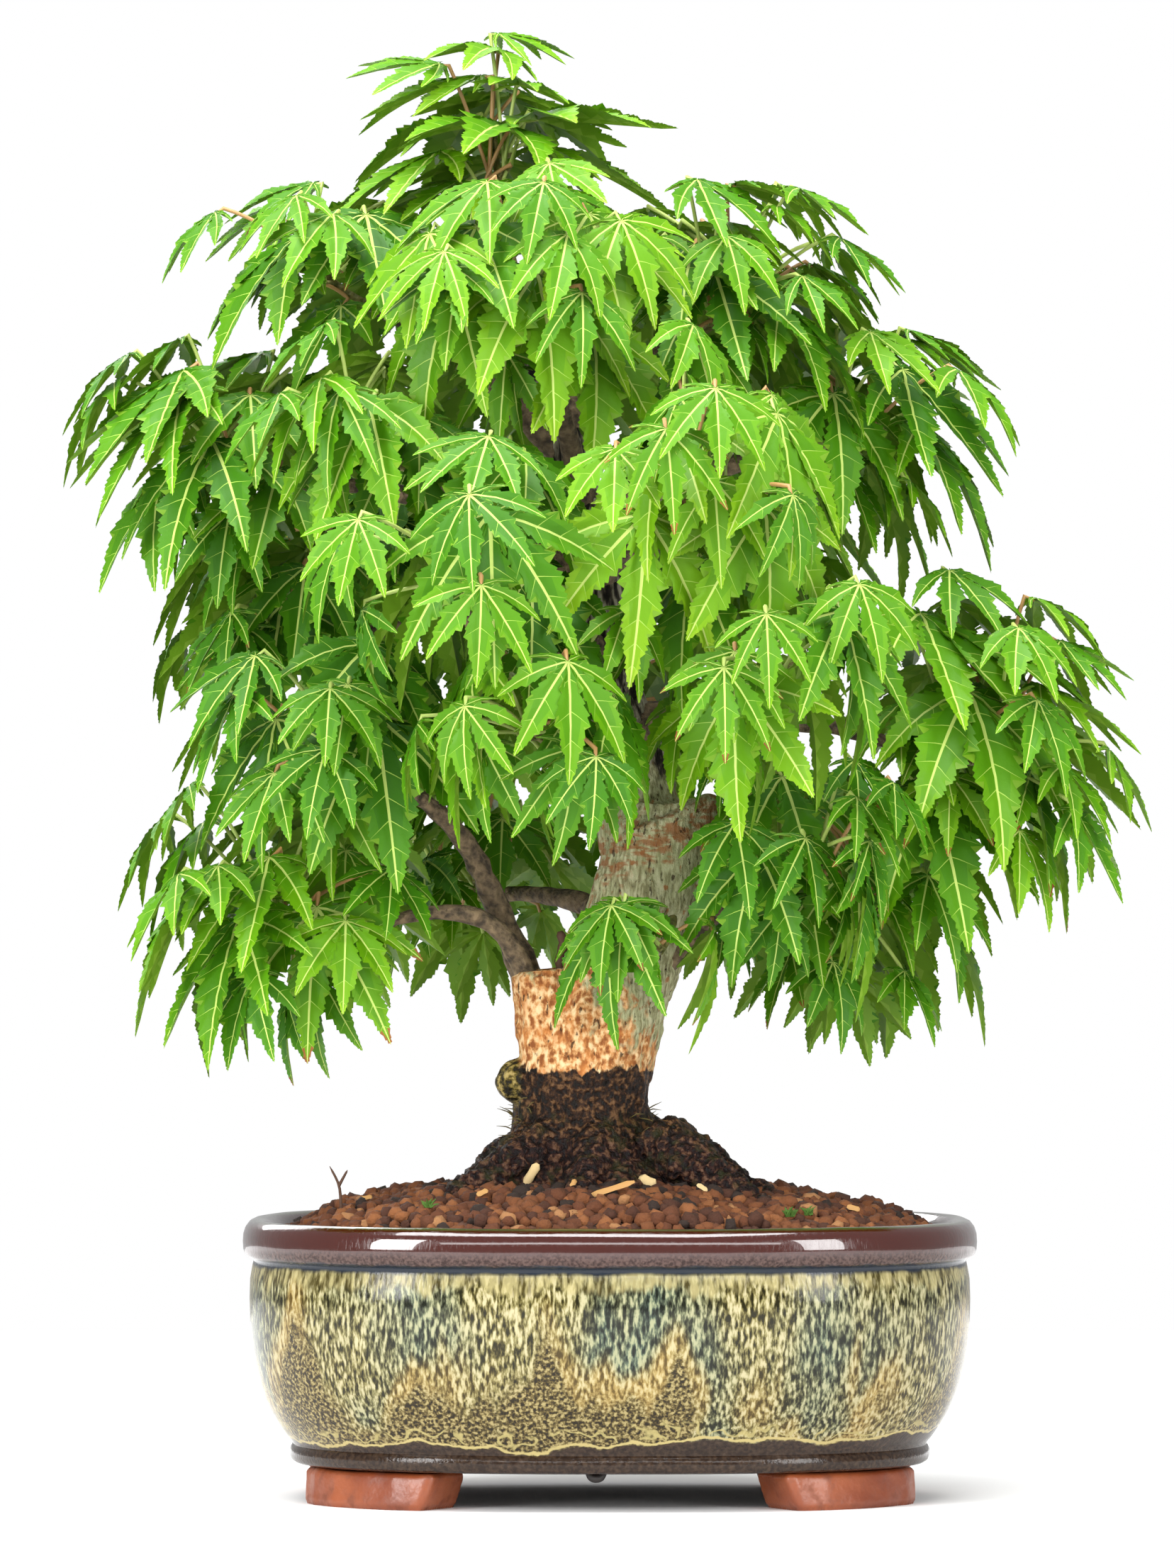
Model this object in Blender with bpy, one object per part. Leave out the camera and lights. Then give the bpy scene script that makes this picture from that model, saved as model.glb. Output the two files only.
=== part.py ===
"""A Japanese maple bonsai in a glazed oval pot, one solid for each sub-part.

Metres, +Z up. The origin is on the ground under the middle of the pot, +X is to the viewer's right and
-Y is the front. Run with blender --background --python part.py, or from the text editor.
"""

import math
import random

import bmesh
import bpy
from mathutils import Quaternion, Vector
from mathutils.bvhtree import BVHTree

MM = 0.001
GAP = 0.3 * MM
UP = Vector((0, 0, 1))

# The pot: an oval bowl with a rolled lip, on four corner feet
POT_HALF_X = 95 * MM
POT_HALF_Y = 75 * MM
POT_SQUARENESS = 2.6
POT_SIDES = 36
FOOT_HEIGHT = 9.7 * MM
FLOOR_TOP = 16 * MM
DRAIN_RADIUS = 7 * MM
DRAIN_OFFSET = 38 * MM
# Each pair is how far in from the lip's edge, and how high, in millimetres
POT_OUTSIDE = (
    (14.5, 9.7), (12.6, 10.6), (12.3, 13.4), (13.2, 14.5), (11.0, 17.2), (7.6, 22.6), (4.5, 29.8),
    (2.5, 40.0), (1.8, 52.0), (2.4, 61.6), (0.6, 63.4), (0.0, 66.6), (0.8, 70.4), (3.0, 72.3),
)
POT_INSIDE = ((5.6, 72.0), (8.2, 69.2), (9.0, 60.0), (9.8, 40.0), (13.5, 25.0), (20.0, 16.0))

# A foot is a length of curb bent round the pot's corner
FOOT_ANGLES = (14, 62)
FOOT_STEPS = 5
FOOT_WIDTH = 15 * MM
FOOT_INSET = 14.6 * MM
FOOT_FLARE = 1.4 * MM
FOOT_END_SLANT = 3.0 * MM
FOOT_EDGE = 1.0 * MM
FOOT_SHARP = math.radians(50)  # an edge that turns more than this is bevelled

# The soil fills the bowl and rises in low lumps to a round landing under the trunk
LANDING_RADIUS = 39 * MM
LANDING_Z = 79.5 * MM
SOIL_SIDE = ((20.6, 16.3), (13.9, 25.2), (10.2, 40.0), (9.4, 60.0), (8.9, 67.0))
SOIL_RISE = ((0.14, 70.6), (0.30, 73.4), (0.46, 75.4), (0.62, 76.8), (0.80, 78.0))
SOIL_LUMP = 1.3 * MM
SOIL_LUMP_EVERY = 21 * MM

# The trunk: height, middle in X and Y, and radius of each section, in millimetres
TRUNK_SIDES = 14
TRUNK_FOOT_Z = LANDING_Z + GAP
TRUNK_SECTIONS = (
    (79.8, -5.0, 0.0, 32.0), (83.5, -4.2, 0.0, 26.5), (89.5, -5.4, 0.0, 21.0), (98.5, -7.4, 0.0, 17.2),
    (112.0, -6.4, 0.0, 17.0), (128.0, -1.6, 0.0, 16.8), (142.0, 5.4, 0.0, 15.0), (159.0, 11.6, 0.0, 15.0),
    (172.0, 13.8, 0.0, 14.6), (180.0, 15.4, 0.0, 13.0),
)
ROOT_RIBS = 5
ROOT_RIB_DEPTH = 0.13
ROOT_RIB_TOP = 104 * MM
ROOT_RIB_TURN = 0.6
# Surface roots that run out over the soil: place and radius along each, in millimetres
ROOT_SIDES = 6
ROOTS = (
    ((12, -10, 93, 7.5), (22, -18, 85.5, 6), (31, -25, 80.5, 3.6)),
    ((6, 8, 93, 7.5), (15, 19, 85.5, 6), (23, 27, 80.5, 3.6)),
    ((-16, -10, 93, 7.5), (-26, -17, 85, 6), (-35, -22, 80.5, 3.4)),
    ((-16, 9, 93, 7.5), (-27, 16, 85, 6), (-36, 20, 80.5, 3.2)),
    ((14, -1, 92, 7.5), (25, -3, 84.5, 6), (34, -7, 80.5, 3.2)),
    ((-4, -15, 92, 6.5), (-6, -26, 84, 5), (-8, -36, 80.5, 2.8)),
)
# The stub of an old branch on the left, sawn flat
STUB_BASE = Vector((-13, -3, 104)) * MM
STUB_TOP = Vector((-16.4, -3.4, 136.7)) * MM
STUB_RADIUS = 8.2 * MM
KNOB_PLACE = Vector((-23.5, -4.0, 108.0)) * MM
KNOB_RADIUS = 5.2 * MM
# The leader that carries on from the old cut: place and radius, in millimetres
LEADER_SIDES = 10
LEADER_TAKES_OVER = 170  # the height from which boughs leave the leader's middle and not the old trunk's
LEADER = (
    (9.5, 1.0, 168.0, 11.5), (4.5, 2.0, 190.0, 9.6), (-1.0, 2.0, 212.0, 8.0), (-2.4, 1.0, 231.0, 7.0),
    (-7.0, 0.0, 257.0, 5.4), (-15.0, -1.0, 284.0, 4.0), (-22.0, -1.0, 304.0, 2.9), (-25.0, 0.0, 318.0, 2.1),
)

# Boughs
BOUGH_SIDES = 6
BOUGH_STEPS = 5
BOUGH_TIP_RADIUS = 1.7 * MM
BOUGH_LIFT = 0.1  # how far a bough arches up, as a share of its reach
BOUGH_REACH = 0.50  # how far from a mass's middle its bough ends, as a share of the mass's own radius

# Leaves. A lobe's angle from the middle one, and its length as a share of the middle one's
LOBES = ((-82, 0.70), (-41, 0.92), (0, 1.0), (41, 0.92), (82, 0.70))
NOTCH = 0.20
SHOULDER = 0.50
SHOULDER_HALF_WIDTH = 0.18
LOBE_SWEEP = 0.16
LOBE_CUP = 0.16
LOBE_FOLD = 0.38
BEND_SHORTENS = 0.35
LEAF_THICKNESS = 1.5 * MM
LEAF_GUARD = 1.1  # how much thicker the blade is that has to touch nothing
LEAF_HEEL = 0.10
LEAF_CENTRE = 0.45  # how far the blade's own middle lies from its stalk, as a share of the middle lobe
PETIOLE_RADIUS = 0.62 * MM
PETIOLE_STEPS = 2
PETIOLE_ARCH = 0.16
PETIOLE_DIP = 0.04  # how far the stalk passes under the blade, as a share of its length

# How a leaf hangs in its mass
SIZES = (0.86, 1.1)
OUT_FROM_MASS = 0.9  # how much a leaf turns away from its mass's middle, and from the trunk
OUT_FROM_TRUNK = 0.55
TURN_SPREAD = 0.35
SLOPE_UP = 20  # how many degrees less steeply a leaf at the top of its mass hangs
SLOPE_SPREAD = 11
ROLL_SPREAD = 0.3
LEAF_BEND = (0.1, 0.3)  # how far its lobes bend down, as a share of their length
DEPTH = (0.75, 1.25)  # how far out a leaf's middle lies, as a share of the room that it has
LEAST_DEPTH = 0.25
STRAY = 0.45
TRIES = 120
SPACE_MARGIN = 1.2
LOWEST = -0.55  # leaves grow where a direction's height is over this, and its reach from the trunk over that
NEAREST = -0.42

# Green twigs
TWIG_RADIUS = 1.05 * MM
STEM_RADIUS = 1.5 * MM
TWIG_SIDES = 4
CLEAR_OF_TWIG = 1.6 * TWIG_RADIUS  # how far from each of its ends a stalk is tested for what it touches
CLEAR_OF_BLADE = 3 * PETIOLE_RADIUS
STEM_PAST_MIDDLE = 0.12  # these three as shares of the mass's least radius, the stem's length, and both
STEM_STRAIGHT = 0.4
TWIG_REACH = 0.18
TWIG_FEET = (0.45, 0.95)  # where twigs leave the stem, as shares of its length
STALK_PLACES = (0.52, 0.74, 0.94)  # where stalks leave a twig, as shares of its length
TRUNK_AXIS_X = -5 * MM
CENTRED = 25 * MM  # a mass whose middle is nearer to the trunk's axis than this faces no way

# The masses of foliage. Middle, radii, leaves, length of a middle lobe, how many degrees its leaves
# hang below level, the height where its bough leaves the trunk, the bough's radius there, and the seed,
# with every length in millimetres. The top one has no bough: it grows from the end of the leader
MASSES = {
    "top": ((-29, 2, 350), (46, 42, 38), 11, 42, 6, None, 0, 1),
    "upper_left": ((-74, -6, 318), (46, 44, 34), 9, 44, 26, 268, 3.3, 38),
    "upper_right": ((32, -8, 310), (48, 44, 42), 10, 42, 30, 278, 3.3, 19),
    "upper_front": ((-22, -50, 306), (48, 42, 42), 9, 46, 46, 256, 3.2, 18),
    "upper_back": ((-14, 58, 304), (54, 44, 42), 9, 46, 38, 272, 3.2, 36),
    "left": ((-102, -2, 268), (50, 48, 46), 10, 50, 34, 242, 3.6, 40),
    "left_front": ((-64, -44, 274), (42, 38, 36), 6, 44, 44, 232, 3.0, 21),
    "right": ((67, 4, 276), (48, 46, 42), 10, 46, 32, 252, 3.6, 41),
    "front_right": ((22, -70, 256), (46, 44, 46), 9, 48, 56, 236, 3.4, 26),
    "front_left": ((-36, -74, 236), (46, 42, 44), 8, 48, 56, 216, 3.4, 52),
    "back_left": ((-60, 61, 252), (50, 44, 46), 9, 46, 43, 208, 3.8, 29),
    "back_right": ((36, 64, 252), (50, 44, 46), 9, 46, 43, 238, 3.6, 44),
    "inner_left": ((-90, 14, 222), (42, 42, 42), 8, 46, 46, 222, 3.2, 42),
    "middle_left": ((-72, -32, 192), (48, 44, 42), 9, 48, 46, 150, 3.8, 27),
    "middle_front": ((-20, -66, 200), (44, 42, 40), 8, 46, 60, 182, 3.4, 36),
    "middle_right": ((40, -60, 212), (44, 42, 42), 9, 46, 56, 192, 3.4, 44),
    "far_right": ((99.5, -4, 192), (46, 50, 54), 11, 48, 34, 200, 4.0, 51),
    "middle_back": ((-8, 66, 202), (54, 44, 44), 9, 46, 43, 176, 4.0, 2),
    "low_left": ((-88, -14, 150), (50, 46, 44), 11, 46, 44, 128, 2.8, 10),
    "low_back_left": ((-40, 60, 158), (46, 42, 36), 8, 42, 40, 146, 3.6, 53),
    "low_right": ((52, -28, 165), (44, 42, 40), 9, 44, 48, 134, 2.8, 22),
    "low_far_right": ((70, 14, 152), (44, 46, 42), 8, 44, 42, 158, 3.2, 44),
    "low_back_right": ((32, 62, 160), (46, 42, 36), 8, 42, 40, 168, 3.6, 46),
    "trunk_front": ((12, -32, 140), (34, 26, 34), 2, 42, 64, None, 0, 21),
}
# A mass that grows straight from the trunk's bark: where its stem starts, and its heading
TRUNK_SHOOTS = {"trunk_front": ((13.0, -14.9, 147.0), (0.40, -0.85, 0.34))}
# Boughs that bend on their way: where each starts, and the point that it bends towards
BENT_BOUGHS = {
    "middle_left": ((-16, 8, 118), (-36, 6, 182)),
    "low_left": ((-18, -4, 122), (-26, -5, 166)),
    "low_right": ((8, -4, 130), (30, -9, 158)),
}

COLOURS = {
    "glaze": ((0.20, 0.19, 0.11), 0.2),
    "clay": ((0.50, 0.16, 0.07), 0.6),
    "soil": ((0.16, 0.06, 0.025), 0.95),
    "bark": ((0.45, 0.33, 0.20), 0.85),
    "leaf": ((0.06, 0.23, 0.03), 0.5),
}


def clear_scene():
    for old in list(bpy.data.objects):
        bpy.data.objects.remove(old, do_unlink=True)


def new_collection(name):
    made = bpy.data.collections.new(name)
    bpy.context.scene.collection.children.link(made)
    return made


def new_material(name):
    colour, roughness = COLOURS[name]
    material = bpy.data.materials.new(name)
    material.use_nodes = True
    shader = material.node_tree.nodes["Principled BSDF"]
    shader.inputs["Base Color"].default_value = (*colour, 1)
    shader.inputs["Roughness"].default_value = roughness
    shader.inputs["Metallic"].default_value = 0
    material.diffuse_color = (*colour, 1)
    return material


def object_from(name, bm, collection, material=None):
    mesh = bpy.data.meshes.new(name)
    bm.to_mesh(mesh)
    bm.free()
    made = bpy.data.objects.new(name, mesh)
    collection.objects.link(made)
    if material:
        mesh.materials.append(material)
    return made


def boolean(target, operation, other, solver="EXACT"):
    """Adds a Boolean with an object or a collection, applies it and removes what it used."""
    modifier = target.modifiers.new(operation.lower(), "BOOLEAN")
    modifier.operation = operation
    modifier.solver = solver
    if isinstance(other, bpy.types.Collection):
        modifier.operand_type = "COLLECTION"
        modifier.collection = other
    else:
        modifier.object = other
    graph = bpy.context.evaluated_depsgraph_get()
    joined = bpy.data.meshes.new_from_object(target.evaluated_get(graph))
    target.modifiers.remove(modifier)
    target.data = joined
    used = list(other.objects) if isinstance(other, bpy.types.Collection) else [other]
    for piece in used:
        bpy.data.objects.remove(piece, do_unlink=True)


def loft(bm, rings, caps=True):
    """Joins rings of points, all with the same number, into one skin that faces outwards."""
    rows = [[bm.verts.new(point) for point in ring] for ring in rings]
    count = len(rows[0])
    for lower, upper in zip(rows, rows[1:]):
        for i in range(count):
            j = (i + 1) % count
            bm.faces.new((lower[i], lower[j], upper[j], upper[i]))
    if caps:
        bm.faces.new(list(reversed(rows[0])))
        bm.faces.new(rows[-1])


def oval(half_x, half_y, z, count=POT_SIDES):
    """A ring between an ellipse and a rectangle, as squared as POT_SQUARENESS says."""
    power = 2 / POT_SQUARENESS
    ring = []
    for i in range(count):
        turn = 2 * math.pi * i / count
        c, s = math.cos(turn), math.sin(turn)
        x = math.copysign(abs(c) ** power, c) * half_x
        y = math.copysign(abs(s) ** power, s) * half_y
        ring.append(Vector((x, y, z)))
    return ring


def pot_ring(inset, height):
    return oval(POT_HALF_X - inset * MM, POT_HALF_Y - inset * MM, height * MM)


def make_bowl(collection, material):
    bm = bmesh.new()
    loft(bm, [pot_ring(*row) for row in POT_OUTSIDE + POT_INSIDE])
    bowl = object_from("pot_bowl", bm, collection, material)
    for side in (-1, 1):
        bm = bmesh.new()
        bmesh.ops.create_cone(
            bm, cap_ends=True, segments=16, radius1=DRAIN_RADIUS, radius2=DRAIN_RADIUS, depth=4 * FLOOR_TOP
        )
        bmesh.ops.translate(bm, verts=bm.verts, vec=(side * DRAIN_OFFSET, 0, 0))
        cutter = object_from("drain_cutter", bm, collection)
        boolean(bowl, "DIFFERENCE", cutter)
    return bowl


def make_foot(name, side_x, side_y, collection, material):
    """One corner foot. Its ends slant in towards the ground and its outer face flares out."""
    bm = bmesh.new()
    rings = []
    power = 2 / POT_SQUARENESS
    low, high = FOOT_ANGLES
    for step in range(FOOT_STEPS + 1):
        share = step / FOOT_STEPS
        turn = math.radians(low + (high - low) * share)
        c, s = math.cos(turn) ** power, math.sin(turn) ** power
        along = Vector((-s, c, 0)).normalized()
        end = FOOT_END_SLANT * (share * 2 - 1) ** 5
        outer, inner = [
            Vector((c * (POT_HALF_X - inset), s * (POT_HALF_Y - inset), 0))
            for inset in (FOOT_INSET, FOOT_INSET + FOOT_WIDTH)
        ]
        out = (outer - inner).normalized()
        top = UP * (FOOT_HEIGHT - GAP)
        ring = [
            inner - along * end,
            outer + out * FOOT_FLARE - along * end,
            outer + top,
            inner + top,
        ]
        rings.append([Vector((p.x * side_x, p.y * side_y, p.z)) for p in ring])
    loft(bm, rings)
    bmesh.ops.recalc_face_normals(bm, faces=bm.faces)
    edges = [e for e in bm.edges if e.is_manifold and e.calc_face_angle() > FOOT_SHARP]
    bmesh.ops.bevel(bm, geom=edges, offset=FOOT_EDGE, segments=1, affect="EDGES")
    return object_from(name, bm, collection, material)


def soil_lump(x, y):
    """How much higher or lower than its slope the soil lies: humps and hollows side by side."""
    turn = math.pi / SOIL_LUMP_EVERY
    return SOIL_LUMP * math.sin(turn * (x + 0.4 * y)) * math.sin(turn * (y - 0.3 * x))


def make_soil(collection, material):
    edge_inset, edge_height = SOIL_SIDE[-1]
    edge = pot_ring(edge_inset, edge_height)
    landing = []
    for point in edge:
        turn = math.atan2(point.y, point.x)
        x = TRUNK_AXIS_X + math.cos(turn) * LANDING_RADIUS
        landing.append(Vector((x, math.sin(turn) * LANDING_RADIUS, LANDING_Z)))
    rings = [pot_ring(*row) for row in SOIL_SIDE]
    for share, height in SOIL_RISE:
        ring = [a.lerp(b, share) for a, b in zip(edge, landing)]
        rings.append([Vector((p.x, p.y, height * MM + soil_lump(p.x, p.y))) for p in ring])
    rings.append(landing)
    bm = bmesh.new()
    loft(bm, rings)
    return object_from("soil", bm, collection, material)


def trunk_ring(height, x, y, radius, grow=0.0):
    ribs = ROOT_RIB_DEPTH * max(0, (ROOT_RIB_TOP - height) / (ROOT_RIB_TOP - TRUNK_FOOT_Z))
    ring = []
    for i in range(TRUNK_SIDES):
        turn = 2 * math.pi * i / TRUNK_SIDES
        r = radius * (1 + ribs * math.cos(ROOT_RIBS * turn + ROOT_RIB_TURN)) + grow
        ring.append(Vector((x + math.cos(turn) * r, y + math.sin(turn) * r, height)))
    return ring


def rings_along(points, radii, sides, guide=None):
    """Rings square to a line of points. The first corner of each lies towards guide."""
    rings = []
    for i, point in enumerate(points):
        before, after = points[max(i - 1, 0)], points[min(i + 1, len(points) - 1)]
        along = (after - before).normalized()
        if guide is None:
            guide = Vector((0, 1, 0)) if abs(along.y) < 0.8 else Vector((1, 0, 0))
        guide = (guide - along * guide.dot(along)).normalized()
        other = along.cross(guide)
        turns = [2 * math.pi * k / sides for k in range(sides)]
        rings.append([point + (guide * math.cos(t) + other * math.sin(t)) * radii[i] for t in turns])
    return rings


def tube(bm, points, radii, sides, grow=0.0):
    """A tapering limb along points, with flat ends square to its line."""
    loft(bm, rings_along(points, [radius + grow for radius in radii], sides))


def leader_points():
    return [Vector(row[:3]) * MM for row in LEADER], [row[3] * MM for row in LEADER]


def make_trunk(name, collection, material, grow=0.0):
    """The trunk, its sawn stub, its knob and its leader as one solid, or that solid grown all over."""
    bm = bmesh.new()
    rings = [trunk_ring(z * MM, x * MM, y * MM, r * MM, grow) for z, x, y, r in TRUNK_SECTIONS]
    loft(bm, rings)
    trunk = object_from(name, bm, collection, material)
    pieces = new_collection(name + "_pieces")
    bm = bmesh.new()
    tube(bm, [STUB_BASE, STUB_TOP + UP * grow], [STUB_RADIUS] * 2, TRUNK_SIDES, grow)
    object_from("stub", bm, pieces)
    bm = bmesh.new()
    points, radii = leader_points()
    tube(bm, points, radii, LEADER_SIDES, grow)
    object_from("leader", bm, pieces)
    bm = bmesh.new()
    bmesh.ops.create_icosphere(bm, subdivisions=1, radius=KNOB_RADIUS + grow)
    bmesh.ops.translate(bm, verts=bm.verts, vec=KNOB_PLACE)
    object_from("knob", bm, pieces)
    for root in ROOTS:
        bm = bmesh.new()
        tube(bm, [Vector(row[:3]) * MM for row in root], [row[3] * MM for row in root], ROOT_SIDES)
        for corner in bm.verts:
            corner.co.z = max(corner.co.z, TRUNK_FOOT_Z)
        object_from("root", bm, pieces)
    boolean(trunk, "UNION", pieces)
    bpy.data.collections.remove(pieces)
    return trunk


def trunk_middle(height):
    """The middle of the trunk, or of its leader above the old cut, at a height."""
    rows = [Vector((x, y, z)) * MM for z, x, y, r in TRUNK_SECTIONS if z < LEADER_TAKES_OVER]
    rows += [Vector(row[:3]) * MM for row in LEADER[1:]]
    for low, high in zip(rows, rows[1:]):
        if height <= high.z:
            return low.lerp(high, (height - low.z) / (high.z - low.z))
    return rows[-1]


def arc(start, middle, end, steps):
    """Points along a curve that leaves start towards middle and arrives at end from it."""
    points = []
    for i in range(steps + 1):
        t = i / steps
        points.append(start * (1 - t) ** 2 + middle * 2 * t * (1 - t) + end * t**2)
    return points


def point_along(points, share):
    """The point a share of the way along a line of evenly spaced points."""
    place = share * (len(points) - 1)
    i = min(int(place), len(points) - 2)
    return points[i].lerp(points[i + 1], place - i)


class Space:
    """The room that one mass keeps to, and how its bough and stem reach it."""

    def __init__(self, name, row):
        middle, radii, self.leaves, lobe, self.slope, leave, bough_radius, self.seed = row
        self.name = name
        self.middle = Vector(middle) * MM
        self.radii = Vector(radii) * MM
        self.lobe = lobe * MM
        self.bough_radius = bough_radius * MM
        if name in TRUNK_SHOOTS:
            start, heading = TRUNK_SHOOTS[name]
            self.bough = None
            self.root = Vector(start) * MM
            self.heading = Vector(heading).normalized()
        elif leave is None:
            points, _ = leader_points()
            self.bough = None
            self.root = points[-1] + UP * GAP
            self.heading = (points[-1] - points[-2]).normalized()
        else:
            start = trunk_middle(leave * MM)
            away = self.middle - start
            tip = self.middle - away.normalized() * (BOUGH_REACH * min(self.radii))
            bend = (start + tip) / 2 + UP * (BOUGH_LIFT * away.length)
            if name in BENT_BOUGHS:
                start, bend = [Vector(point) * MM for point in BENT_BOUGHS[name]]
            self.bough = arc(start, bend, tip, BOUGH_STEPS)
            self.heading = (self.bough[-1] - self.bough[-2]).normalized()
            self.root = tip + self.heading * GAP
        flat = Vector((self.middle.x - TRUNK_AXIS_X, self.middle.y, 0))
        self.out = flat.normalized() if flat.length > CENTRED else Vector((0, 0, 0))

    def stretch(self, d):
        """How far out a point at d from the middle lies: 1 on the space's edge."""
        return Vector((d.x / self.radii.x, d.y / self.radii.y, d.z / self.radii.z)).length


class Leaf:
    """A palmate leaf: where its stalk ends, which way its middle lobe points, and how it hangs."""

    def __init__(self, place, forward, normal, lobe, bend):
        self.place = place
        self.forward = forward
        self.normal = normal
        self.across = normal.cross(forward)
        self.lobe = lobe
        self.bend = bend

    def point(self, lobe, s, u=0.0):
        """A point a share s along a lobe and u metres to its left. The lobe bends down and folds up."""
        angle, share = LOBES[lobe]
        turn = math.radians(angle) * (1 - LOBE_SWEEP * s)
        length = self.lobe * share
        along = self.forward * math.cos(turn) + self.across * math.sin(turn)
        left = self.across * math.cos(turn) - self.forward * math.sin(turn)
        reach = length * s * (1 - BEND_SHORTENS * self.bend * s)
        drop = length * (LOBE_CUP * s + self.bend * s * s)
        return self.place + along * reach + left * u + self.normal * (abs(u) * LOBE_FOLD - drop)

    def heel(self, share):
        """A point behind the middle, where the stalk comes in: 1 on the leaf's edge."""
        return self.place - self.forward * (LEAF_HEEL * share * self.lobe)

    def outline(self):
        """The leaf's edge: two shoulders and a tip for each lobe, with a notch between two lobes."""
        ring = []
        for i, (_, share) in enumerate(LOBES):
            if i:
                r = NOTCH
                ring.append((self.point(i - 1, r / LOBES[i - 1][1]) + self.point(i, r / share)) / 2)
            wide = SHOULDER_HALF_WIDTH * self.lobe * share
            ring += [self.point(i, SHOULDER, -wide), self.point(i, 1), self.point(i, SHOULDER, wide)]
        return ring

    def add_to(self, bm, thickness, stalk=None):
        """Adds the blade, thickest in the middle. Its stalk, where given, is part of the same skin."""
        edge = [bm.verts.new(point) for point in self.outline()]
        top = bm.verts.new(self.place + self.normal * thickness / 2)
        under = bm.verts.new(self.place - self.normal * thickness / 2)
        for a, b in zip(edge, edge[1:]):
            bm.faces.new((a, b, top))
            bm.faces.new((b, a, under))
        if stalk is None:
            heel = bm.verts.new(self.heel(1))
            for a, b in ((edge[-1], heel), (heel, edge[0])):
                bm.faces.new((a, b, top))
                bm.faces.new((b, a, under))
            return
        radii = [PETIOLE_RADIUS] * len(stalk)
        rings = rings_along(list(reversed(stalk)), radii, 3, self.normal)
        rows = [[bm.verts.new(point) for point in ring] for ring in rings]
        for near, far in zip(rows, rows[1:]):
            for i in range(3):
                bm.faces.new((near[i], near[(i + 1) % 3], far[(i + 1) % 3], far[i]))
        bm.faces.new(rows[-1])
        up, left, right = rows[0]
        bm.faces.new((edge[-1], up, top))
        bm.faces.new((up, edge[0], top))
        bm.faces.new((left, edge[-1], under))
        bm.faces.new((right, left, under))
        bm.faces.new((edge[0], right, under))
        bm.faces.new((edge[-1], left, up))
        bm.faces.new((edge[0], up, right))


def tree_of(build):
    """A search tree over the faces that build adds to a mesh."""
    bm = bmesh.new()
    build(bm)
    bmesh.ops.triangulate(bm, faces=bm.faces)
    found = BVHTree.FromBMesh(bm)
    points = [v.co.copy() for v in bm.verts]
    low = Vector([min(p[k] for p in points) for k in range(3)])
    high = Vector([max(p[k] for p in points) for k in range(3)])
    bm.free()
    return low, high, found


def meets(one, others):
    low, high, found = one
    for other_low, other_high, other in others:
        apart = any(low[k] > other_high[k] or other_low[k] > high[k] for k in range(3))
        if not apart and found.overlap(other):
            return True
    return False


def directions(count, rng, out):
    """Even directions over the part of a ball that faces up or away from the trunk."""
    spread = []
    total = count
    while len(spread) < count:
        total += 1
        start = rng.random() * 2 * math.pi
        spread = []
        for i in range(total):
            z = 1 - 2 * (i + 0.5) / total
            flat = math.sqrt(1 - z * z)
            turn = start + i * math.pi * (3 - math.sqrt(5))
            d = Vector((math.cos(turn) * flat, math.sin(turn) * flat, z))
            if z > LOWEST and d.dot(out) > NEAREST:
                spread.append(d)
    return spread[:count]


def leaf_towards(space, d, rng):
    """A leaf whose blade lies near the space's edge in direction d, hanging outwards and down."""
    lobe = space.lobe * rng.uniform(*SIZES)
    flat = Vector((d.x, d.y, 0)) * OUT_FROM_MASS + space.out * OUT_FROM_TRUNK
    flat.normalize()
    flat.rotate(Quaternion(UP, rng.uniform(-TURN_SPREAD, TURN_SPREAD)))
    slope = math.radians(space.slope - SLOPE_UP * d.z + rng.uniform(-SLOPE_SPREAD, SLOPE_SPREAD))
    forward = flat * math.cos(slope) - UP * math.sin(slope)
    normal = flat * math.sin(slope) + UP * math.cos(slope)
    normal = (normal + normal.cross(forward) * rng.uniform(-ROLL_SPREAD, ROLL_SPREAD)).normalized()
    r = 1 / space.stretch(d)
    centre = space.middle + d * max(r - 0.5 * lobe, LEAST_DEPTH * r) * rng.uniform(*DEPTH)
    place = centre - forward * (LEAF_CENTRE * lobe)
    return Leaf(place, forward, normal, lobe, rng.uniform(*LEAF_BEND))


def petiole_points(start, leaf):
    end = leaf.heel(1)
    gap = end - start
    middle = (start + end) / 2 + UP * (PETIOLE_ARCH * gap.length) - leaf.normal * (PETIOLE_DIP * gap.length)
    return arc(start, middle, end, PETIOLE_STEPS)


def find_leaf(space, d, start, rng, others, twig_tree):
    """A leaf towards d on a stalk from start that stays in the space and touches nothing, with its search
    trees, or None. The stalk grows out of its own twig, which only the blade keeps clear of."""
    for _ in range(TRIES):
        stray = Vector([rng.uniform(-1, 1) for _ in range(3)])
        leaf = leaf_towards(space, (d + stray * STRAY).normalized(), rng)
        if max(space.stretch(p - space.middle) for p in leaf.outline()) > SPACE_MARGIN:
            continue
        blade = tree_of(lambda bm: leaf.add_to(bm, LEAF_THICKNESS * LEAF_GUARD))
        if meets(blade, [*others, twig_tree]):
            continue
        line = petiole_points(start, leaf)
        near = line[0] + (line[1] - line[0]).normalized() * CLEAR_OF_TWIG
        far = line[-1] + (line[-2] - line[-1]).normalized() * CLEAR_OF_BLADE
        free = [near, *line[1:-1], far]
        stalk = tree_of(lambda bm: tube(bm, free, [PETIOLE_RADIUS] * len(free), 3, GAP))
        if not meets(stalk, [*others, blade]):
            return leaf, line, blade, stalk
    return None


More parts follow.
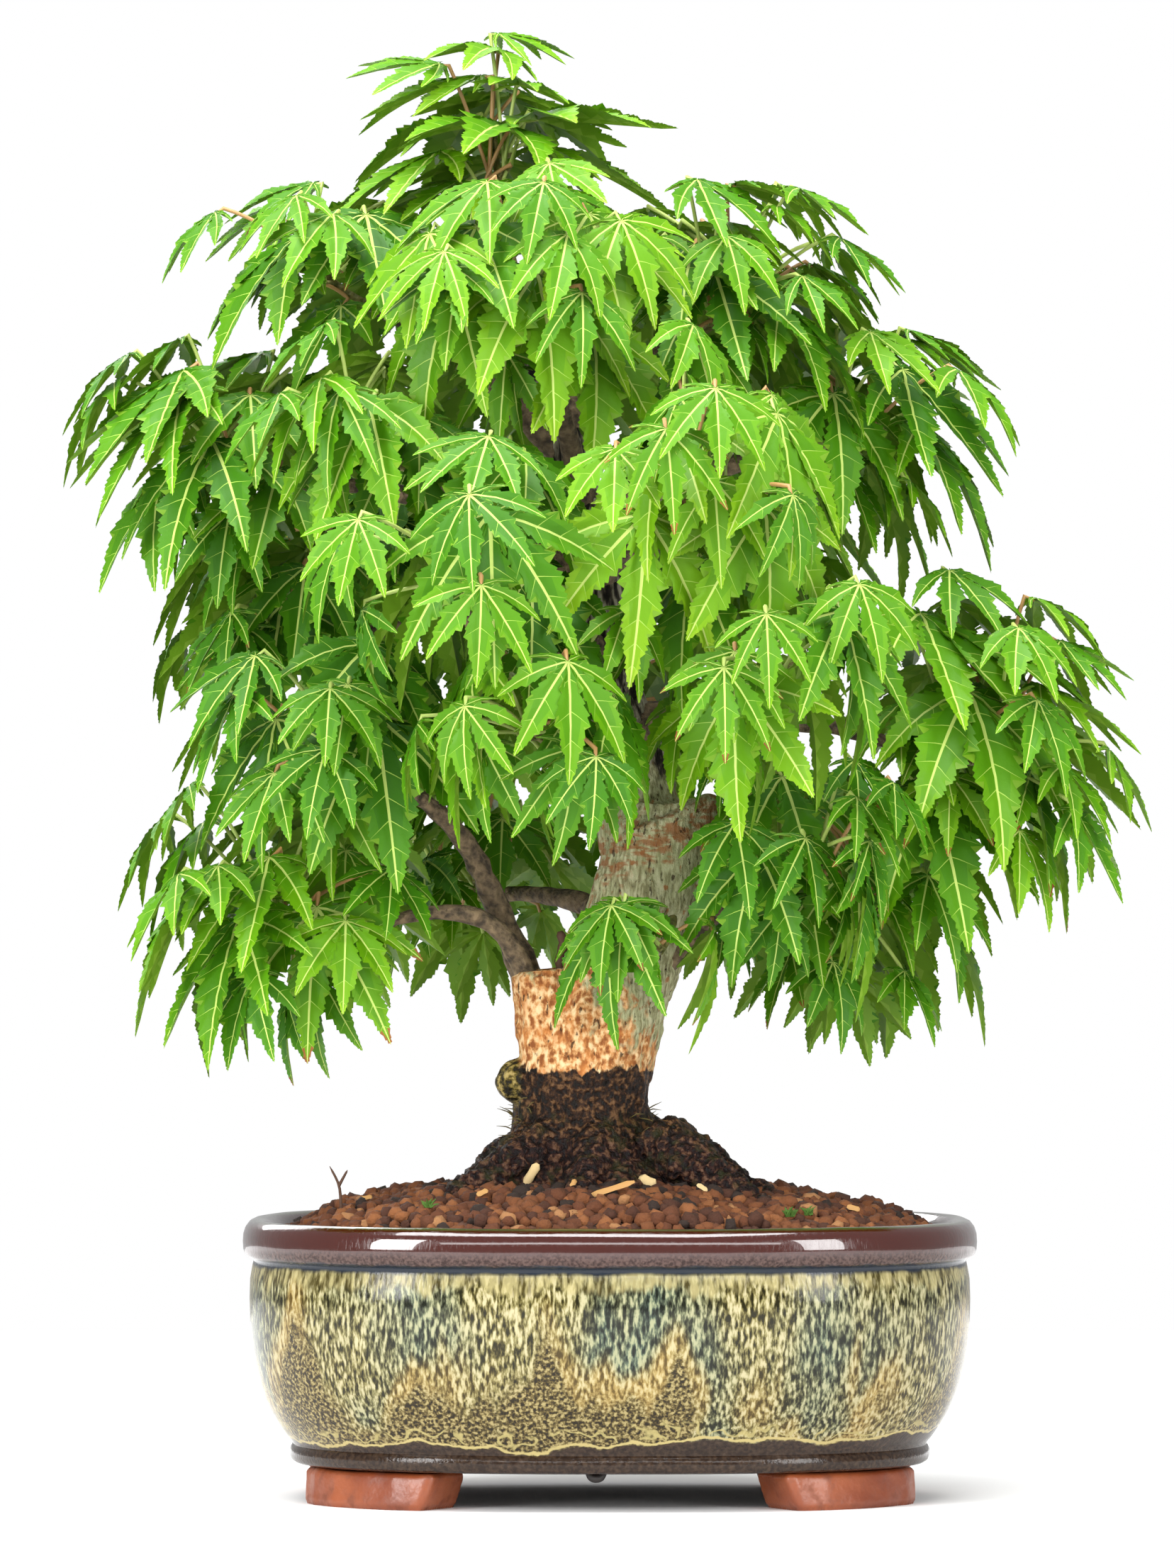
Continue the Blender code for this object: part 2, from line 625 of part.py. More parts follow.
def grow_mass(space, others):
    """Grows one mass: a stem, twigs from it, and leaves on stalks. It skips what would leave the mass's
    space or touch a limb or another mass. It returns the tubes and the leaves with their stalks to fuse,
    and the search trees over them for the masses that grow after it."""
    rng = random.Random(space.seed)
    spread = directions(space.leaves, rng, space.out)
    spread.sort(key=lambda d: math.atan2(d.y, d.x))
    end = space.middle + space.heading * (STEM_PAST_MIDDLE * min(space.radii))
    stem = [space.root, space.root + space.heading * (STEM_STRAIGHT * (end - space.root).length), end]
    radii = [STEM_RADIUS, (STEM_RADIUS + TWIG_RADIUS) / 2, TWIG_RADIUS]
    tubes = [(stem, radii, TWIG_SIDES)]
    wood = [tree_of(lambda bm: tube(bm, stem, radii, TWIG_SIDES, GAP))]
    if meets(wood[0], others):
        print(f"{space.name}: its stem meets a neighbour")
    on_twig = len(STALK_PLACES)
    groups = [spread[i:i + on_twig] for i in range(0, len(spread), on_twig)]
    twigs = []
    for g, group in enumerate(groups):
        first, last = TWIG_FEET
        foot = point_along(stem, first + (last - first) * (g + 1) / len(groups))
        tip = foot + sum(group, Vector()).normalized() * (TWIG_REACH * min(space.radii))
        tree = tree_of(lambda bm: tube(bm, [foot, tip], [TWIG_RADIUS] * 2, TWIG_SIDES, GAP))
        if not meets(tree, others):
            twigs.append((foot, tip, group, tree))
            tubes.append(([foot, tip], [TWIG_RADIUS] * 2, TWIG_SIDES))
            wood.append(tree)
    grown = []
    leaves = []
    for foot, tip, group, twig_tree in twigs:
        clear_of = others + [tree for tree in wood if tree is not twig_tree]
        for place, d in zip(STALK_PLACES, group):
            found = find_leaf(space, d, foot.lerp(tip, place), rng, clear_of + grown, twig_tree)
            if found:
                leaf, line, blade, stalk = found
                leaves.append((leaf, line))
                grown += [blade, stalk]
    return tubes, leaves, wood + grown


def keep_largest(target):
    """Leaves only the body with the most faces: no loose scrap, and no hollow that fusing sealed."""
    bm = bmesh.new()
    bm.from_mesh(target.data)
    bodies = []
    seen = set()
    for first in bm.faces:
        if first in seen:
            continue
        seen.add(first)
        body, edge_of_walk = [first], [first]
        while edge_of_walk:
            face = edge_of_walk.pop()
            for edge in face.edges:
                if len(edge.link_faces) != 2:
                    continue
                for other in edge.link_faces:
                    if other not in seen:
                        seen.add(other)
                        body.append(other)
                        edge_of_walk.append(other)
        bodies.append(body)
    bodies.sort(key=len)
    for body in bodies[:-1]:
        bmesh.ops.delete(bm, geom=body, context="FACES")
    bm.to_mesh(target.data)
    bm.free()


def fuse_mass(name, tubes, leaves, collection, material):
    """Joins a mass's stem, twigs, stalks and leaves into one solid with one union."""
    pieces = new_collection(name + "_pieces")
    stem, *others = tubes
    bm = bmesh.new()
    tube(bm, *stem)
    mass = object_from(name, bm, collection, material)
    for row in others:
        bm = bmesh.new()
        tube(bm, *row)
        object_from("twig", bm, pieces)
    for leaf, line in leaves:
        bm = bmesh.new()
        leaf.add_to(bm, LEAF_THICKNESS, line)
        bmesh.ops.recalc_face_normals(bm, faces=bm.faces)
        object_from("leaf", bm, pieces)
    boolean(mass, "UNION", pieces, "MANIFOLD")
    bpy.data.collections.remove(pieces)
    keep_largest(mass)
    return mass


def make_boughs(spaces, collection, material):
    """Every bough, each cut back to 0.3 mm clear of the trunk, and the search trees over them."""
    found = []
    for space in spaces:
        if space.bough is None:
            continue
        steps = len(space.bough) - 1
        taper = (BOUGH_TIP_RADIUS - space.bough_radius) / steps
        radii = [space.bough_radius + taper * i for i in range(steps + 1)]
        bm = bmesh.new()
        tube(bm, space.bough, radii, BOUGH_SIDES)
        bough = object_from("bough_" + space.name, bm, collection, material)
        boolean(bough, "DIFFERENCE", make_trunk("trunk_cutter", collection, None, GAP))
        found.append(tree_of(lambda bm: tube(bm, space.bough, radii, BOUGH_SIDES, GAP)))
    return found


def trunk_trees():
    points, radii = leader_points()
    rings = [trunk_ring(z * MM, x * MM, y * MM, r * MM, GAP) for z, x, y, r in TRUNK_SECTIONS]
    return [
        tree_of(lambda bm: loft(bm, rings)),
        tree_of(lambda bm: tube(bm, points, radii, LEADER_SIDES, GAP)),
        tree_of(lambda bm: tube(bm, [STUB_BASE, STUB_TOP + UP * GAP], [STUB_RADIUS] * 2, TRUNK_SIDES, GAP)),
    ]


def main():
    clear_scene()
    tree = new_collection("maple_bonsai")
    glaze, clay, soil, bark, leaf_green = (new_material(name) for name in COLOURS)
    make_bowl(tree, glaze)
    for end, side_x in (("left", -1), ("right", 1)):
        for face, side_y in (("front", -1), ("back", 1)):
            make_foot(f"pot_foot_{face}_{end}", side_x, side_y, tree, clay)
    make_soil(tree, soil)
    make_trunk("trunk", tree, bark)
    spaces = [Space(name, row) for name, row in MASSES.items()]
    grown = trunk_trees() + make_boughs(spaces, tree, bark)
    total = 0
    for space in spaces:
        tubes, leaves, trees = grow_mass(space, grown)
        grown += trees
        total += len(leaves)
        mass = fuse_mass("foliage_" + space.name, tubes, leaves, tree, leaf_green)
        print(f"{mass.name}: {len(leaves)} of {space.leaves} leaves, {len(mass.data.polygons)} faces")
    print(f"{total} leaves")


main()
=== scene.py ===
import math
import random

import bmesh
import bpy
import numpy as np
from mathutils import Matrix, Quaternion, Vector, noise
from mathutils.bvhtree import BVHTree


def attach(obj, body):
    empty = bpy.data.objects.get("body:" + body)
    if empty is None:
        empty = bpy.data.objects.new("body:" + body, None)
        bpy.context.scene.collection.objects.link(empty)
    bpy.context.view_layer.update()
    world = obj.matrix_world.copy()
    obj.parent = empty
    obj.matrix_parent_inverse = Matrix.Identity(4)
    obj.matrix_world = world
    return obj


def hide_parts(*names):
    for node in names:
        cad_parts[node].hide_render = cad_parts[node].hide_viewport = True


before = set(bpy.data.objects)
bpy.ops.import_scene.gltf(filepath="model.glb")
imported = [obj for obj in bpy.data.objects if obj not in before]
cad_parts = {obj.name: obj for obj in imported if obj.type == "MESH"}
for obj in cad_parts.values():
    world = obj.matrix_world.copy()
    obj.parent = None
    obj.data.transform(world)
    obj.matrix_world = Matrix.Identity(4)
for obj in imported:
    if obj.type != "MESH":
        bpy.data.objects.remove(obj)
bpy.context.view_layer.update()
print("frame loaded:", len(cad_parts), "nodes")

mm = 0.001
gap = 0.3 * mm
up = Vector((0, 0, 1))


# Working tools

def selectOnly(*pieces):
    bpy.ops.object.select_all(action="DESELECT")
    for piece in pieces:
        piece.select_set(True)
    bpy.context.view_layer.objects.active = pieces[0]


def modify(piece, kind, **values):
    # adds one modifier and applies it
    selectOnly(piece)
    modifier = piece.modifiers.new(kind.lower(), kind)
    for name, value in values.items():
        setattr(modifier, name, value)
    bpy.ops.object.modifier_apply(modifier=modifier.name)


def joinPieces(pieces):
    selectOnly(*pieces)
    bpy.ops.object.join()
    return pieces[0]


def smoothByAngle(piece, degrees):
    selectOnly(piece)
    bpy.ops.object.shade_smooth_by_angle(angle=math.radians(degrees))


def linkPiece(name, mesh):
    piece = bpy.data.objects.new(name, mesh)
    bpy.context.scene.collection.objects.link(piece)
    return piece


def dressPiece(piece, material, degrees):
    piece.data.materials.clear()
    piece.data.materials.append(material)
    smoothByAngle(piece, degrees)


def finishPiece(piece, slot, *nodes):
    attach(piece, "root")
    if nodes:
        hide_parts(*nodes)


class Gathered:
    # many small shapes gathered as arrays of points and faces, to be one mesh
    def __init__(self):
        self.points, self.faces, self.slots = [], [], []
        self.count = 0

    def add(self, points, faces, slots):
        # slots is one number for the whole shape, or one for each face
        self.points.append(points)
        self.faces.append(faces + self.count)
        self.slots.append(np.broadcast_to(slots, len(faces)))
        self.count += len(points)

    def addLimb(self, points, radii, sides, slot=0, pointed=False):
        # a closed round limb along a line of points, with a radius at each
        radii = list(radii)
        if pointed:
            radii[-1] *= 0.25
        rings = ringsAlong([Vector(p) for p in points], radii, sides)
        corners = [tuple(p) for ring in rings for p in ring] + [tuple(points[0]), tuple(points[-1])]
        faces = []
        for row in range(len(rings) - 1):
            for i in range(sides):
                a, b = row * sides + i, row * sides + (i + 1) % sides
                faces += [(a, b, b + sides), (a, b + sides, a + sides)]
        first, last = len(corners) - 2, len(corners) - 1
        top = (len(rings) - 1) * sides
        for i in range(sides):
            j = (i + 1) % sides
            faces += [(first, j, i), (last, top + i, top + j)]
        self.add(np.array(corners), np.array(faces), slot)

    def finish(self, name, materials, degrees=70):
        mesh = bpy.data.meshes.new(name)
        points = np.concatenate(self.points).astype(np.float32)
        faces = np.concatenate(self.faces).astype(np.int32)
        mesh.vertices.add(len(points))
        mesh.vertices.foreach_set("co", points.ravel())
        mesh.loops.add(faces.size)
        mesh.loops.foreach_set("vertex_index", faces.ravel())
        mesh.polygons.add(len(faces))
        mesh.polygons.foreach_set("loop_start", np.arange(len(faces), dtype=np.int32) * faces.shape[1])
        for material in materials:
            mesh.materials.append(material)
        mesh.polygons.foreach_set("material_index", np.concatenate(self.slots).astype(np.int32))
        mesh.update(calc_edges=True)
        mesh.validate()
        piece = linkPiece(name, mesh)
        smoothByAngle(piece, degrees)
        return piece


def surfaceOf(piece):
    # its points, and which way the surface faces at each
    found = [np.empty(len(piece.data.vertices) * 3, np.float32) for _ in range(2)]
    for rows, kind in zip(found, ("co", "normal")):
        piece.data.vertices.foreach_get(kind, rows)
    return [rows.reshape(-1, 3).astype(float) for rows in found]


def setPoints(piece, points):
    piece.data.vertices.foreach_set("co", np.asarray(points, np.float32).ravel())
    piece.data.update()


def softNoise(points, scale, seed=0.0):
    # smooth noise from -1 to 1 at each point, with scale in cycles to the metre along X, Y and Z
    stretch = Vector(scale) if hasattr(scale, "__len__") else Vector((scale, scale, scale))
    shift = Vector((seed * 7.3, seed * 3.1, seed * 5.7))
    return np.array([noise.noise(Vector((p[0] * stretch.x, p[1] * stretch.y, p[2] * stretch.z)) + shift)
                     for p in points])


def lumps(points, coarse, fine, share, seed):
    # two sizes of smooth lumps, of which share tells how high the fine ones are
    return softNoise(points, coarse, seed) + share * softNoise(points, fine, seed + 1)


# Material tools

def addNode(tree, kind, inputs=None, **settings):
    made = tree.nodes.new(kind)
    for name, value in settings.items():
        setattr(made, name, value)
    for name, value in (inputs or {}).items():
        socket = made.inputs[name]
        if isinstance(value, bpy.types.NodeSocket):
            tree.links.new(value, socket)
        else:
            socket.default_value = value
    return made


def fromScreen(red, green, blue, depth=1.0):
    # a screen colour, 0 to 255, as the shader wants it, darkened by depth
    return tuple(depth * (((c / 255 + 0.055) / 1.055) ** 2.4 if c > 10 else c / 3295)
                 for c in (red, green, blue))


def makePatchMask():
    # a soft-edged mask from noise: how much of the surface it covers, and how sharp its edge is
    group = bpy.data.node_groups.new("patchMask", "ShaderNodeTree")
    group.interface.new_socket("Vector", in_out="INPUT", socket_type="NodeSocketVector")
    for name, value in (("Scale", 100.0), ("Detail", 4.0), ("Cover", 0.5), ("Softness", 0.1)):
        made = group.interface.new_socket(name, in_out="INPUT", socket_type="NodeSocketFloat")
        made.default_value = value
    group.interface.new_socket("Mask", in_out="OUTPUT", socket_type="NodeSocketFloat")
    given = addNode(group, "NodeGroupInput").outputs
    end = addNode(group, "NodeGroupOutput")
    passed = {name: given[name] for name in ("Vector", "Scale", "Detail")}
    speck = addNode(group, "ShaderNodeTexNoise", passed)
    spread = addNode(group, "ShaderNodeMapRange", {
        "Value": speck.outputs["Fac"], "From Min": 0.25, "From Max": 0.75,
    })
    level = addNode(group, "ShaderNodeMath", {0: 1.0, 1: given["Cover"]}, operation="SUBTRACT")
    low, high = [
        addNode(group, "ShaderNodeMath", {0: level.outputs[0], 1: given["Softness"]}, operation=operation)
        for operation in ("SUBTRACT", "ADD")
    ]
    mask = addNode(group, "ShaderNodeMapRange", {
        "Value": spread.outputs["Result"], "From Min": low.outputs[0], "From Max": high.outputs[0],
    })
    group.links.new(mask.outputs["Result"], end.inputs["Mask"])
    return group


patchMask = makePatchMask()


class Paint:
    # one material, with short calls for the nodes that make its pattern
    def __init__(self, name, colour, roughness, **sockets):
        self.material = bpy.data.materials.new(name)
        self.material.use_nodes = True
        self.material.diffuse_color = (*colour, 1)
        self.tree = self.material.node_tree
        self.shader = self.tree.nodes["Principled BSDF"].inputs
        for socket, value in {"Base_Color": (*colour, 1), "Roughness": roughness, **sockets}.items():
            self.shader[socket.replace("_", " ")].default_value = value
        self.place = self.add("ShaderNodeTexCoord").outputs["Object"]  # the point on the piece, in metres

    def add(self, kind, inputs=None, **settings):
        return addNode(self.tree, kind, inputs, **settings)

    def stretched(self, z):
        # the point with its height scaled, so that a pattern runs upright where z is under 1
        return self.add("ShaderNodeMapping", {"Vector": self.place, "Scale": (1, 1, z)}).outputs["Vector"]

    def axis(self, name):
        return self.add("ShaderNodeSeparateXYZ", {0: self.place}).outputs[name]

    def noise(self, vector, scale, detail=2):
        inputs = {"Vector": vector, "Scale": scale, "Detail": detail}
        return self.add("ShaderNodeTexNoise", inputs).outputs["Fac"]

    def patches(self, vector, scale, cover, softness=0.1, detail=4.0):
        inputs = {"Vector": vector, "Scale": scale, "Cover": cover, "Softness": softness, "Detail": detail}
        return self.add("ShaderNodeGroup", inputs, node_tree=patchMask).outputs["Mask"]

    def maths(self, operation, *values):
        return self.add("ShaderNodeMath", dict(enumerate(values)), operation=operation).outputs[0]

    def plus(self, one, two):
        return self.maths("ADD", one, two)

    def minus(self, one, two):
        return self.maths("SUBTRACT", one, two)

    def times(self, one, *others):
        for other in others:
            one = self.maths("MULTIPLY", one, other)
        return one

    def scaled(self, value, factor, offset):
        return self.maths("MULTIPLY_ADD", value, factor, offset)

    def mix(self, mask, low, high, share=1):
        # low where the mask is 0, and as much of high as share tells where it is 1
        mask = mask if share == 1 else self.times(mask, share)
        low, high = [(*tone, 1) if isinstance(tone, tuple) else tone for tone in (low, high)]
        return self.add("ShaderNodeMix", {0: mask, 6: low, 7: high}, data_type="RGBA").outputs[2]

    def over(self, value, low, high):
        # 0 under low, 1 over high; the other way round where low is the larger
        inputs = {"Value": value, "From Min": low, "From Max": high}
        return self.add("ShaderNodeMapRange", inputs, interpolation_type="SMOOTHSTEP").outputs["Result"]

    def band(self, value, middle, half):
        # 1 along a line where value is middle, fading to 0 at half to each side
        return self.over(self.maths("ABSOLUTE", self.minus(value, middle)), half, half * 0.4)

    def tones(self, value, *tones, depth=1.0):
        # screen colours spread evenly over the range 0 to 1
        ramp = self.add("ShaderNodeValToRGB", {"Fac": value})
        marks = ramp.color_ramp.elements
        while len(marks) < len(tones):
            marks.new(0.5)
        for i, tone in enumerate(tones):
            marks[i].position = i / (len(tones) - 1)
            marks[i].color = (*fromScreen(*tone, depth), 1)
        return ramp.outputs["Color"]

    def feed(self, socket, value):
        self.tree.links.new(value, self.shader[socket])

    def bump(self, height, strength, distance):
        inputs = {"Height": height, "Strength": strength, "Distance": distance}
        self.feed("Normal", self.add("ShaderNodeBump", inputs).outputs["Normal"])
        return self.material


# The view and the room
view = {
    "place": (-5.9 * mm, -2.8, 184.6 * mm),
    "lens": 331.7,
    "sensor": 36.0,
}
room = {
    "floorReach": 1.7,
    "floorTone": 0.86,
    "skyLight": 0.5,
    "exposure": 0.0,
}
# Each light: place, what it looks at, size in X and Y, power in watts
lights = {
    "leftSoftbox": ((-1.5, -1.5, 0.75), (0, 0, 0.14), (0.6, 1.3), 40),
    "rightSoftbox": ((1.4, -1.5, 0.70), (0, 0, 0.14), (0.55, 1.3), 25),
    "topSoftbox": ((-0.15, -0.35, 1.6), (0, 0, 0.1), (1.3, 1.0), 47),
    "frontStrip": ((0, -2.05, 0.92), (0, 0, 0.07), (2.2, 0.3), 13),
    "backSoftbox": ((-0.6, 1.5, 1.1), (0, 0, 0.2), (1.0, 0.9), 12),
}


def setRoom():
    data = bpy.data.cameras.new("camera")
    data.sensor_fit = "HORIZONTAL"
    data.sensor_width = view["sensor"]
    data.lens = view["lens"]
    data.clip_end = 40
    camera = bpy.data.objects.new("camera", data)
    camera.location = view["place"]
    camera.rotation_euler = (math.pi / 2, 0, 0)
    bpy.context.scene.collection.objects.link(camera)
    bpy.context.scene.camera = camera
    for name, (place, target, size, power) in lights.items():
        light = bpy.data.lights.new(name, "AREA")
        light.shape = "RECTANGLE"
        light.size, light.size_y = size
        light.energy = power
        holder = bpy.data.objects.new(name, light)
        holder.location = place
        holder.rotation_euler = (Vector(target) - Vector(place)).to_track_quat("-Z", "Y").to_euler()
        bpy.context.scene.collection.objects.link(holder)
    world = bpy.data.worlds.new("studio")
    world.use_nodes = True
    back = world.node_tree.nodes["Background"]
    back.inputs["Color"].default_value = (1, 1, 1, 1)
    back.inputs["Strength"].default_value = room["skyLight"]
    seen = addNode(world.node_tree, "ShaderNodeBackground", {"Color": (1, 1, 1, 1), "Strength": 1.0})
    path = addNode(world.node_tree, "ShaderNodeLightPath")
    mix = addNode(world.node_tree, "ShaderNodeMixShader", {
        0: path.outputs["Is Camera Ray"], 1: back.outputs[0], 2: seen.outputs[0],
    })
    out = world.node_tree.nodes["World Output"]
    world.node_tree.links.new(mix.outputs[0], out.inputs["Surface"])
    bpy.context.scene.world = world
    bpy.ops.object.select_all(action="DESELECT")
    bpy.ops.mesh.primitive_plane_add(size=room["floorReach"], location=(0, 0, 0))
    floor = bpy.context.object
    floor.name = "studioFloor"
    paper = Paint("paperFloor", (room["floorTone"],) * 3, 0.9)
    floor.data.materials.append(paper.bump(paper.noise(paper.place, 900), 0.1, 0.0002))
    settings = bpy.context.scene.view_settings
    settings.view_transform = "Standard"
    settings.look = "None"
    settings.exposure = room["exposure"]


setRoom()
print("room and camera set")


# The pot
pot = {
    "halfX": 95 * mm,
    "halfY": 75 * mm,
    "squareness": 2.6,
    "sides": 160,
    # how far in from the lip's edge, and how high, in millimetres, from the middle of the floor outside
    "outside": ((40, 9.7), (15.6, 9.7), (14.6, 9.7), (13.6, 9.9), (12.7, 10.5), (12.3, 11.6), (12.3, 13.0),
                (12.7, 13.9), (13.1, 14.4), (12.9, 15.0), (11.9, 16.1), (10.2, 18.4), (7.6, 22.6),
                (5.9, 26.0), (4.5, 29.8), (3.3, 34.8), (2.5, 40.0), (2.0, 46.0), (1.8, 52.0), (1.9, 57.0),
                (2.5, 60.4), (2.8, 61.6), (2.5, 62.2), (1.4, 62.6), (0.6, 63.3), (0.15, 64.6), (0.0, 66.6),
                (0.15, 68.6), (0.7, 70.3), (1.7, 71.6), (3.0, 72.2), (4.3, 72.3)),
    "inside": ((5.6, 72.0), (6.8, 71.2), (7.8, 70.0), (8.3, 68.4), (8.7, 65.0), (9.0, 60.0), (9.8, 40.0),
               (13.5, 25.0), (20.0, 16.0), (45, 16.0)),
    "drainRadius": 7 * mm,
    "drainOffset": 38 * mm,
    "mouldingTop": 12 * mm,  # the hand-made wobble starts above it
    "wobble": 0.25 * mm,
    "glazeDepth": 0.52,
}


def ovalPoint(turn, inset=0.0):
    power = 2 / pot["squareness"]
    c, s = math.cos(turn), math.sin(turn)
    x = math.copysign(abs(c) ** power, c) * (pot["halfX"] - inset)
    y = math.copysign(abs(s) ** power, s) * (pot["halfY"] - inset)
    return x, y


def glazeMaterial():
    glaze = Paint("streakedGlaze", (0.16, 0.14, 0.07), 0.14, Coat_Roughness=0.03, Coat_IOR=1.65,
                  Specular_IOR_Level=0.26)
    depth = pot["glazeDepth"]
    z, flat, drips, upright = glaze.axis("Z"), glaze.place, glaze.stretched(0.12), glaze.stretched(0.3)
    # how far down the light glaze ran over the brown one
    flow = glaze.noise(drips, 42, 3)
    ran = glaze.minus(z, glaze.scaled(flow, -0.15, 0.103))
    light = glaze.over(ran, -0.004, 0.007)
    # round specks below, fine upright streaks above
    specks = glaze.noise(flat, 1150, 3)
    streaks = glaze.minus(glaze.noise(upright, 1100, 5), specks)
    grain = glaze.over(glaze.plus(specks, glaze.times(streaks, light)), 0.36, 0.65)
    brown, olive, ochre, blue = [glaze.tones(grain, *tones, depth=depth) for tones in (
        ((40, 30, 6), (98, 82, 40), (136, 118, 68), (196, 178, 120)),
        ((42, 38, 8), (118, 108, 60), (176, 166, 110), (228, 216, 170)),
        ((112, 88, 36), (178, 148, 82), (208, 182, 114), (228, 210, 156)),
        ((26, 34, 28), (62, 80, 74), (106, 126, 106), (182, 188, 146)),
    )]
    body = glaze.mix(light, brown, olive)
    meeting = glaze.times(glaze.over(ran, -0.003, 0.003), glaze.over(ran, 0.018, 0.007))
    body = glaze.mix(glaze.times(meeting, glaze.patches(upright, 52, 0.46, 0.26, 4)), body, ochre)
    cold = glaze.patches(glaze.stretched(0.34), 48, 0.44, 0.26, 6)
    body = glaze.mix(glaze.times(cold, 0.88, glaze.over(ran, 0.007, 0.019)), body, blue)
    # the light edge under the groove, cut by fine dark streaks
    edgeLine = glaze.scaled(glaze.noise(drips, 210, 4), 0.012, 0.0505)
    dark = glaze.patches(glaze.stretched(0.1), 620, 0.46, 0.14, 3)
    cream = glaze.mix(dark, fromScreen(218, 204, 142, depth), fromScreen(92, 80, 36, depth))
    body = glaze.mix(glaze.over(glaze.minus(z, edgeLine), -0.001, 0.0015), body, cream, 0.7)
    # the wavy cream line over the bottom moulding, with short loops where the drips end
    line = glaze.minus(z, glaze.scaled(glaze.noise(flat, 34), 0.016, 0.0095))
    line = glaze.plus(line, glaze.scaled(glaze.noise(flat, 420, 3), 0.0016, -0.0008))
    moulding = glaze.mix(glaze.patches(flat, 900, 0.4, 0.3), fromScreen(50, 34, 24, depth),
                         fromScreen(86, 66, 50, depth))
    body = glaze.mix(glaze.over(line, 0.0002, -0.0008), body, moulding)
    body = glaze.mix(glaze.band(line, 0.0001, 0.0005), body, fromScreen(226, 206, 136, depth))
    curve = glaze.scaled(glaze.noise(flat, 150, 1), -0.020, 0.0125)
    loops = glaze.times(glaze.band(glaze.minus(line, curve), 0.0, 0.0008), glaze.over(line, 0.0045, 0.0030),
                        glaze.over(line, 0.0006, 0.0012))
    body = glaze.mix(loops, body, fromScreen(214, 198, 128, depth), 0.8)
    # the rim band, the dark groove under it and the thin green line along its top
    lipLow = glaze.plus(z, glaze.scaled(glaze.noise(flat, 130), 0.002, -0.001))
    lip = glaze.mix(glaze.patches(flat, 1300, 0.5, 0.25, 3), (0.024, 0.010, 0.008), (0.085, 0.050, 0.042))
    lip = glaze.mix(glaze.over(lipLow, 0.0640, 0.0672), lip, (0.036, 0.0040, 0.0014))
    lip = glaze.mix(glaze.over(z, 0.0716, 0.0721), lip, (0.050, 0.056, 0.016))
    body = glaze.mix(glaze.over(lipLow, 0.0600, 0.0613), body, (0.012, 0.017, 0.026))
    body = glaze.mix(glaze.over(lipLow, 0.0624, 0.0632), body, lip)
    glaze.feed("Base Color", body)
    # only the rim has a thick clear coat
    glaze.feed("Coat Weight", glaze.scaled(glaze.over(lipLow, 0.0640, 0.0665), 0.8, 0.04))
    glaze.feed("Roughness", glaze.scaled(grain, 0.08, 0.10))
    return glaze.bump(glaze.plus(glaze.times(flow, 0.8), glaze.times(grain, 0.14)), 0.35, 0.0006)


def makeBowl():
    # a ring is drawn, then pulled up row by row along the outline and down the inside
    bpy.ops.object.select_all(action="DESELECT")
    bpy.ops.mesh.primitive_circle_add(vertices=pot["sides"], radius=pot["halfX"], fill_type="NOTHING")
    bowl = bpy.context.object
    bowl.name = "glazedBowl"
    rows = pot["outside"] + pot["inside"]
    firstInset, firstHeight = rows[0]
    for i, corner in enumerate(bowl.data.vertices):
        x, y = ovalPoint(2 * math.pi * i / pot["sides"], firstInset * mm)
        corner.co = (x, y, firstHeight * mm)
    bpy.ops.object.mode_set(mode="EDIT")
    bpy.ops.mesh.select_all(action="SELECT")
    bpy.ops.mesh.edge_face_add()
    bpy.ops.mesh.select_all(action="DESELECT")
    bpy.ops.object.mode_set(mode="OBJECT")
    for edge in bowl.data.edges:
        edge.select = True
    bpy.ops.object.mode_set(mode="EDIT")
    bpy.ops.mesh.select_mode(type="EDGE")
    for (inset, height), (nextInset, nextHeight) in zip(rows, rows[1:]):
        bpy.ops.mesh.extrude_edges_move(TRANSFORM_OT_translate={"value": (0, 0, (nextHeight - height) * mm)})
        wide = (pot["halfX"] - nextInset * mm) / (pot["halfX"] - inset * mm)
        deep = (pot["halfY"] - nextInset * mm) / (pot["halfY"] - inset * mm)
        bpy.ops.transform.resize(value=(wide, deep, 1), center_override=(0, 0, 0))
    bpy.ops.mesh.edge_face_add()
    bpy.ops.mesh.select_all(action="SELECT")
    bpy.ops.mesh.normals_make_consistent(inside=False)
    bpy.ops.object.mode_set(mode="OBJECT")
    for side in (-1, 1):
        bpy.ops.object.select_all(action="DESELECT")
        bpy.ops.mesh.primitive_cylinder_add(vertices=40, radius=pot["drainRadius"], depth=30 * mm,
                                            location=(side * pot["drainOffset"], 0, 13 * mm))
        cutter = bpy.context.object
        modify(bowl, "BOOLEAN", operation="DIFFERENCE", object=cutter, solver="EXACT")
        bpy.data.objects.remove(cutter, do_unlink=True)
    points, normals = surfaceOf(bowl)
    outer = points[:, 2] > pot["mouldingTop"]
    reach = lumps(points, 28, 90, 0.4, 1) * pot["wobble"] * outer
    setPoints(bowl, points + normals * reach[:, None])
    dressPiece(bowl, glazeMaterial(), 50)
    finishPiece(bowl, "glaze", "pot_bowl")


makeBowl()
print("bowl made")


# The feet: a rounded, hand-cut copy of each CAD foot
feet = {
    "nodes": ("pot_foot_front_left", "pot_foot_front_right", "pot_foot_back_left", "pot_foot_back_right"),
    "remesh": 0.55 * mm,
    "wobble": 0.35 * mm,
    "top": 9.6 * mm,
    "footing": 0.5 * mm,  # all below this is pressed flat on the ground
}


